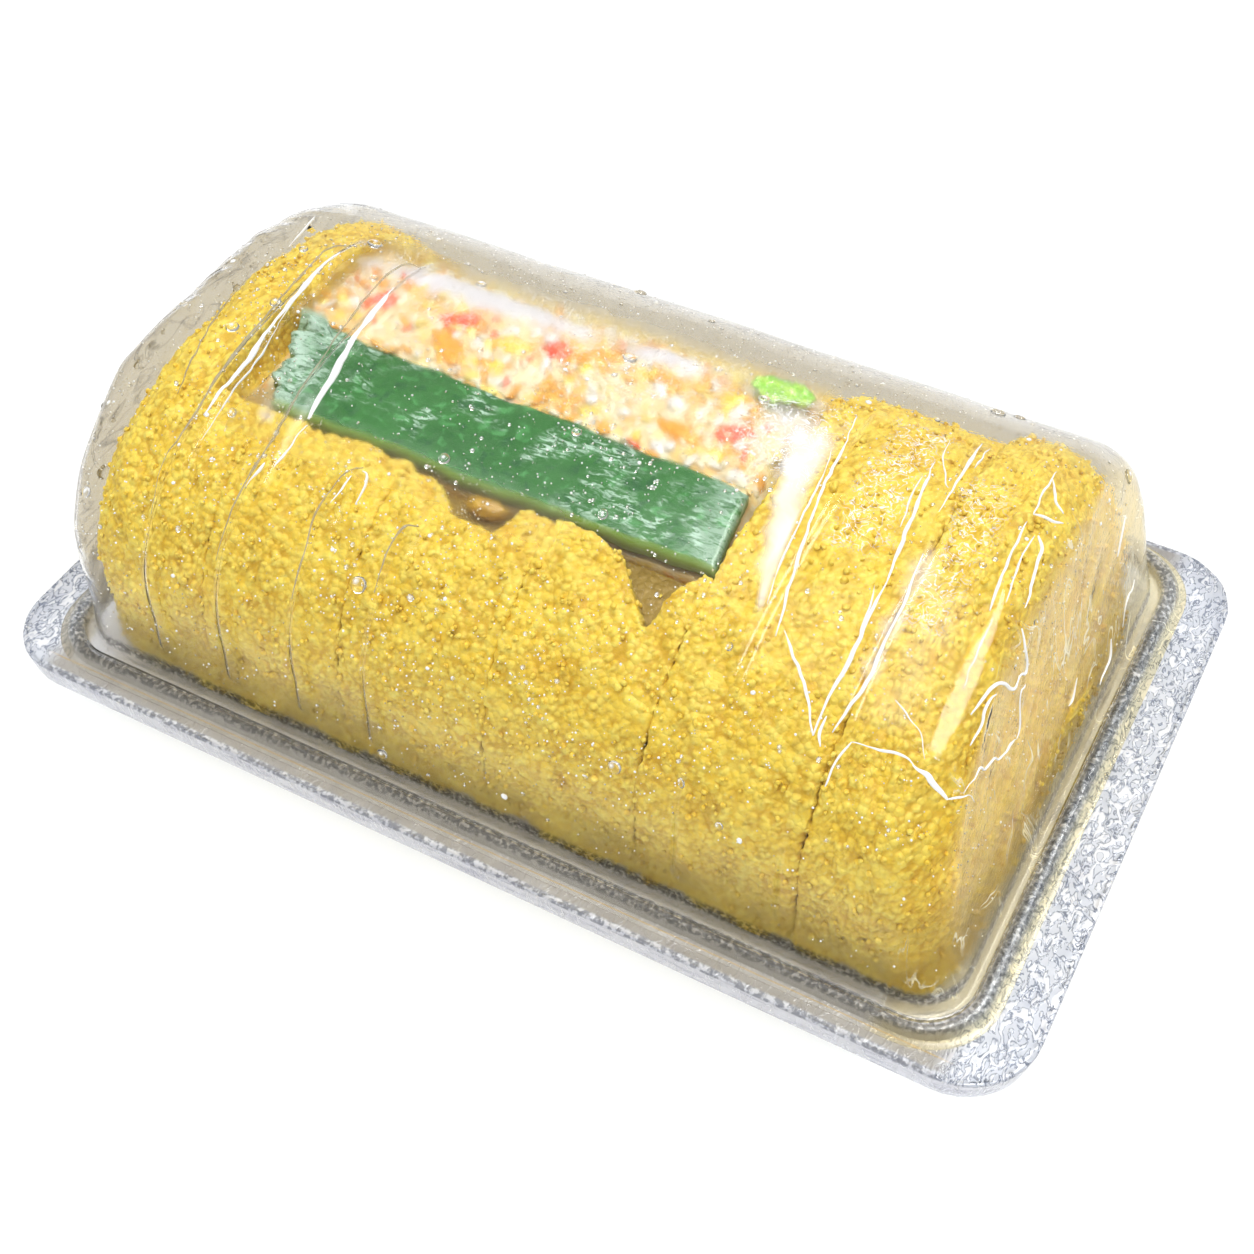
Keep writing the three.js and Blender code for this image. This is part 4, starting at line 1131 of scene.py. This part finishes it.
# Creases and ribs of the film as thin ridges, painted white for their highlights: the half width of each, and
# its points seen from above.
CREASES = (
    (0.42, (41, 21), (43, 8.5), (44, -0.5), (46.5, -16), (50, -33.5)),
    (0.2, (41, 9.5), (43, -1.5), (44.5, -19), (46, -29)),
    (0.36, (51, -32), (55, -36), (59, -40), (63, -45.5)),
    (0.4, (63, -45.5), (63, -39.5), (63.5, -31.5), (63, -21.5), (63, -16)),
    (0.38, (63, -16), (62, -8.5), (60.5, 3.5), (59, 15.5)),
    (0.2, (63, -27.5), (62.5, -22.5), (61.5, -18)),
    (0.2, (60, -3.5), (59, 4), (58.5, 10.5)),
    (0.36, (64.5, 25.5), (65, 18), (65, 12.5), (65, 2.5)),
    (0.16, (66.5, 25), (66.5, 19.5), (66.5, 16.5)),
    (0.2, (59, 23.5), (60, 17.5), (62.5, 12), (64, 9.5)),
    (0.4, (66.5, -8.5), (67.5, -19), (67.5, -26.5), (68, -35), (66, -44.5)),
    (0.3, (64, -42.5), (64, -45), (65, -47)),
    (0.36, (68, -51), (68.5, -47), (69.5, -44.5)),
    (0.28, (69.5, -44.5), (73.5, -44), (77.5, -43.5), (81, -44)),
    (0.5, (80.5, -44), (83, -44.5), (84.5, -45), (87.5, -45.5)),
    (0.2, (87.5, -45.5), (89.5, -43.5), (91, -40.5)),
    (0.2, (73.5, -36), (75.5, -37), (77, -38), (79.5, -39.5), (82, -42.5)),
    (0.3, (79.5, 25), (79.5, 18), (80, 10.5)),
    (0.28, (79.5, 22.5), (82, 16.5), (84.5, 14.5)),
    (0.3, (80, 10.5), (83, 11), (85, 12.5)),
    (0.28, (79.5, 8), (80, 0.5), (80.5, -8.5), (81.5, -14.5)),
    (0.22, (82, 5.5), (82, -2.5), (83, -11.5)),
    (0.26, (82.5, -15.5), (82.5, -23), (83, -30)),
    (0.42, (82.5, 6), (84, 4), (84.5, 0.5), (85.5, -4.5), (86, -9.5)),
    (0.36, (87, -13), (88.5, -14.5), (89.5, -15), (89, -21.5), (87, -27), (86, -33)),
    (0.38, (90, -15.5), (90.5, -18), (91.5, -19), (92, -21)),
    (0.28, (92, -21), (91.5, -25.5), (90.5, -34), (89.5, -43)),
    (0.22, (88, -27), (87.5, -30.5), (88, -33.5), (87.5, -37)),
    (0.26, (91.5, 39.5), (92, 37), (93, 33.5)),
    (0.3, (96.5, 29), (97.5, 27), (98, 20.5)),
    (0.2, (96, 43.5), (96.5, 38), (97.5, 35)),
    (0.18, (95, 9.5), (95.5, 6.5), (95.5, 4)),
    (0.6, (-75, 16), (-75, 8), (-74, 0.5), (-72.5, -14.5), (-72, -22.5), (-73.5, -34)),
    (0.18, (-75.5, 11), (-73, -4.5), (-70.5, -19), (-71, -31.5), (-71.5, -38)),
    (0.75, (-58, 11), (-57, 5), (-56, -4.5), (-54, -16.5), (-53, -27)),
    (0.35, (-52.5, -28.5), (-53.5, -34), (-54, -38)),
    (0.3, (-56, -38), (-56.5, -40), (-57.5, -43)),
    (0.35, (-38.5, -34), (-39, -37), (-39.5, -40)),
    (0.2, (-37, -32.5), (-35.5, -33), (-35, -35), (-35, -38.5)),
    (0.22, (-90.5, 28.5), (-87.5, 19.5), (-86, 13)),
)
RIB_EDGES = (  # painted shade: gray lines along the ribs' steep sides
    (0.2, (-74.5, 20.5), (-77.5, 20), (-78.5, 16.5), (-78, 9.5), (-76.5, -5), (-75.5, -18),
     (-75.5, -33), (-77, -43.5), (-75.5, -52)),
    (0.2, (-58.5, 21.5), (-62, 20.5), (-61.5, 7), (-59.5, -9), (-57.5, -24), (-57, -33.5),
     (-58.5, -44.5), (-59, -54)),
    (0.18, (-37, -32), (-39, -33), (-40.5, -35.5), (-41.5, -42.5), (-40.5, -49), (-40.5, -55)),
    (0.18, (-21, -38), (-23.5, -39), (-24.5, -43), (-24, -50)),
    (0.15, (-87, 0), (-85, -15.5), (-83, -24.5), (-81.5, -31.5)),
)


def build_droplets(skin):
    """Condensation: lens-shaped drops that bulge on both sides of the film, each with a painted white glint
    and a painted dark rim.
    """
    rng = np.random.default_rng(77)
    towards_light = np.array([-0.35, 0.25, 0.9])

    def wanted(places):
        x, _, z = places.T
        clustered = smooth(-0.25, 0.45, noise(places, 11, 131) + 0.5 * noise(places, 4, 132))
        high = 0.3 + 0.7 * smooth(26, 46, z)
        busy = 1 - 0.5 * smooth(20, 60, x)
        return np.where(z < 13, 0, (0.3 + 0.7 * clustered) * high * busy)

    meshes, all_shades = [], []
    for detail, number, middle, spread, ceiling, frosted in DROPS:
        places, normals = sampled(skin, number * 4, rng, wanted)
        places, normals = places[:number], normals[:number]
        count = len(places)
        radius = np.minimum(rng.lognormal(math.log(middle), spread, count), ceiling)
        sizes = np.stack([radius * rng.uniform(0.85, 1.25, count), radius, radius * 0.45 + LID_SKIN * 0.4], 1)
        shape = ball(detail)
        middles = places - normals * LID_SKIN * 0.5
        mesh = scattered(shape, middles, normals, sizes, rng)
        offsets = mesh[0].reshape(count, -1, 3) - middles[:, None]
        ahead = offsets / np.linalg.norm(offsets, axis=2)[..., None]
        facing = ahead @ towards_light + 1.2 * np.einsum("nkc,nc->nk", ahead, normals)
        best = facing.max(1)[:, None]
        glint = smooth(best - 0.12, best - 0.02, facing)
        # painted glint: this share of the drops is white all over
        glint = np.where(rng.random((count, 1)) < frosted, 1, glint)
        # painted shade: a dark rim round each drop
        rim = np.broadcast_to(smooth(0.55, 0.15, np.abs(shape[0][:, 2])), glint.shape)
        meshes.append(mesh)
        all_shades.append(np.stack([glint, 0.85 * rim, 0 * rim], 2).reshape(-1, 3))
    shades = np.concatenate(all_shades)
    add_piece("condensation", joined(*meshes), water_material(), shades=shades)


def bent_line(points, steps=10):
    """A smooth line through the points."""
    points = np.array(points, float)
    padded = np.concatenate([2 * points[:1] - points[1:2], points, 2 * points[-1:] - points[-2:-1]])
    line = []
    for p0, p1, p2, p3 in zip(padded, padded[1:], padded[2:], padded[3:]):
        for t in np.linspace(0, 1, steps, endpoint=False):
            line.append(0.5 * (2 * p1 + (p2 - p0) * t + (2 * p0 - 5 * p1 + 4 * p2 - p3) * t**2
                               + (3 * p1 - p0 - 3 * p2 + p3) * t**3))
    return np.array(line + [points[-1]])


def ridge(tree, points, half_width, height=0.4):
    """A thin ridge along a line that is dropped onto the film, fading out at both ends."""
    line = bent_line(points)
    seen = np.column_stack([line, np.zeros(len(line))])
    line = line + 0.22 * np.column_stack([noise(seen, 2.2, 141), noise(seen, 2.2, 142)])
    found = [tree.ray_cast(Vector((x, y, 2 * DOME_CROWN)), Vector((0, 0, -1))) for x, y in line]
    centre = np.array([f[0] for f in found])
    normal = np.array([f[1] for f in found])
    ahead = np.gradient(centre, axis=0)
    ahead /= np.linalg.norm(ahead, axis=1)[:, None]
    side = np.cross(ahead, normal)
    side /= np.linalg.norm(side, axis=1)[:, None]
    fade = np.sin(np.linspace(0.12, math.pi - 0.12, len(line))) ** 0.5 * (0.85 + 0.45 * noise(seen, 3, 143))
    turn = np.linspace(0, 2 * math.pi, 10, endpoint=False)
    rings = (centre[:, None] + (fade[:, None] * half_width * np.cos(turn))[..., None] * side[:, None]
             + (fade[:, None] * height * np.sin(turn))[..., None] * normal[:, None])
    return closed_loft(rings)


def build_creases(skin):
    tree = BVHTree.FromPolygons(skin[0].tolist(), skin[1].tolist())
    # painted highlights: white ridges along creases and ribs
    white = bent_film_material(
        "painted_crease_highlight", (0.97, 0.97, 0.97), (1, 1, 1), 0.8, (0.97, 0.97, 0.97),
        rough=0.15, clear=0.12, ior=1.45,
    )
    # painted shade: gray ridges along the ribs' steep sides
    gray = bent_film_material(
        "painted_edge_shade", (0.5, 0.46, 0.34), (0.8, 0.75, 0.6), 3, (0.9, 0.9, 0.9),
        rough=0.1, clear=0.6, ior=1.05,
    )
    for name, lines, material in (("film_crease_highlights", CREASES, white), ("rib_edge_shades", RIB_EDGES, gray)):
        ridges = [ridge(tree, points, half) for half, *points in lines]
        add_piece(name, joined(*ridges), material)


# ---- studio


def add_area_light(name, at, towards, size, power, lights=True, mirrored=True):
    """A softbox that lights the pack, or a card that only shows in its reflections, or both."""
    lamp = bpy.data.lights.new(name, "AREA")
    lamp.shape = "RECTANGLE"
    lamp.size, lamp.size_y = size
    lamp.energy = power
    light = bpy.data.objects.new(name, lamp)
    light.location = at
    light.rotation_euler = (Vector(towards) - Vector(at)).to_track_quat("-Z", "Y").to_euler()
    light.visible_diffuse = lights
    light.visible_glossy = mirrored
    bpy.context.scene.collection.objects.link(light)


def build_studio():
    s = Shader("pale_floor")
    colour = s.mix(s.noise(300), (0.93, 0.93, 0.93), (0.95, 0.95, 0.95))
    material = s.finish(colour, 1, Specular_IOR_Level=0)
    work = bmesh.new()
    bmesh.ops.create_grid(work, x_segments=2, y_segments=2, size=4)
    data = bpy.data.meshes.new("floor")
    work.to_mesh(data)
    work.free()
    data.materials.append(material)
    floor = bpy.data.objects.new("floor", data)
    floor.location = (0, 0, -0.0001)
    bpy.context.scene.collection.objects.link(floor)

    world = bpy.data.worlds.new("studio")
    world.use_nodes = True
    world.node_tree.nodes["Background"].inputs["Color"].default_value = (0.8, 0.82, 0.85, 1)
    world.node_tree.nodes["Background"].inputs["Strength"].default_value = 0.75
    bpy.context.scene.world = world
    add_area_light("overhead", (0.1, 0.1, 1.9), (0, 0, 0), (1.6, 1.6), 29, mirrored=False)
    add_area_light("card", (0.36, 0.2, 1.15), (0, 0.2, 0), (1.4, 0.32), 24, lights=False)


def build_camera():
    camera = bpy.data.objects.new("camera", bpy.data.cameras.new("camera"))
    camera.data.lens = CAMERA_LENS
    camera.data.clip_start = 0.01
    turn = Matrix.Rotation(math.radians(CAMERA_AZIMUTH), 4, "Z")
    turn @= Matrix.Rotation(math.radians(90 - CAMERA_DOWN), 4, "X")
    turn @= Matrix.Rotation(math.radians(CAMERA_ROLL), 4, "Z")
    camera.matrix_world = Matrix.Translation(Vector(CAMERA_AT) * MM) @ turn
    bpy.context.scene.collection.objects.link(camera)
    bpy.context.scene.camera = camera


build_camera()
build_studio()
build_tray()
lid_skin = build_lid()
crust_skins, crust = build_crust()
build_loose_crumbs(crust_skins, crust)
build_filling()
build_bits()
build_leaf()
build_strip()
build_droplets(lid_skin)
build_creases(lid_skin)

scene = bpy.context.scene
scene.view_settings.view_transform = "Standard"
scene.cycles.caustics_reflective = False
scene.cycles.caustics_refractive = False
scene.cycles.transparent_max_bounces = 24
scene.cycles.max_bounces = 10
scene.cycles.diffuse_bounces = 2
scene.cycles.glossy_bounces = 3
scene.cycles.transmission_bounces = 10
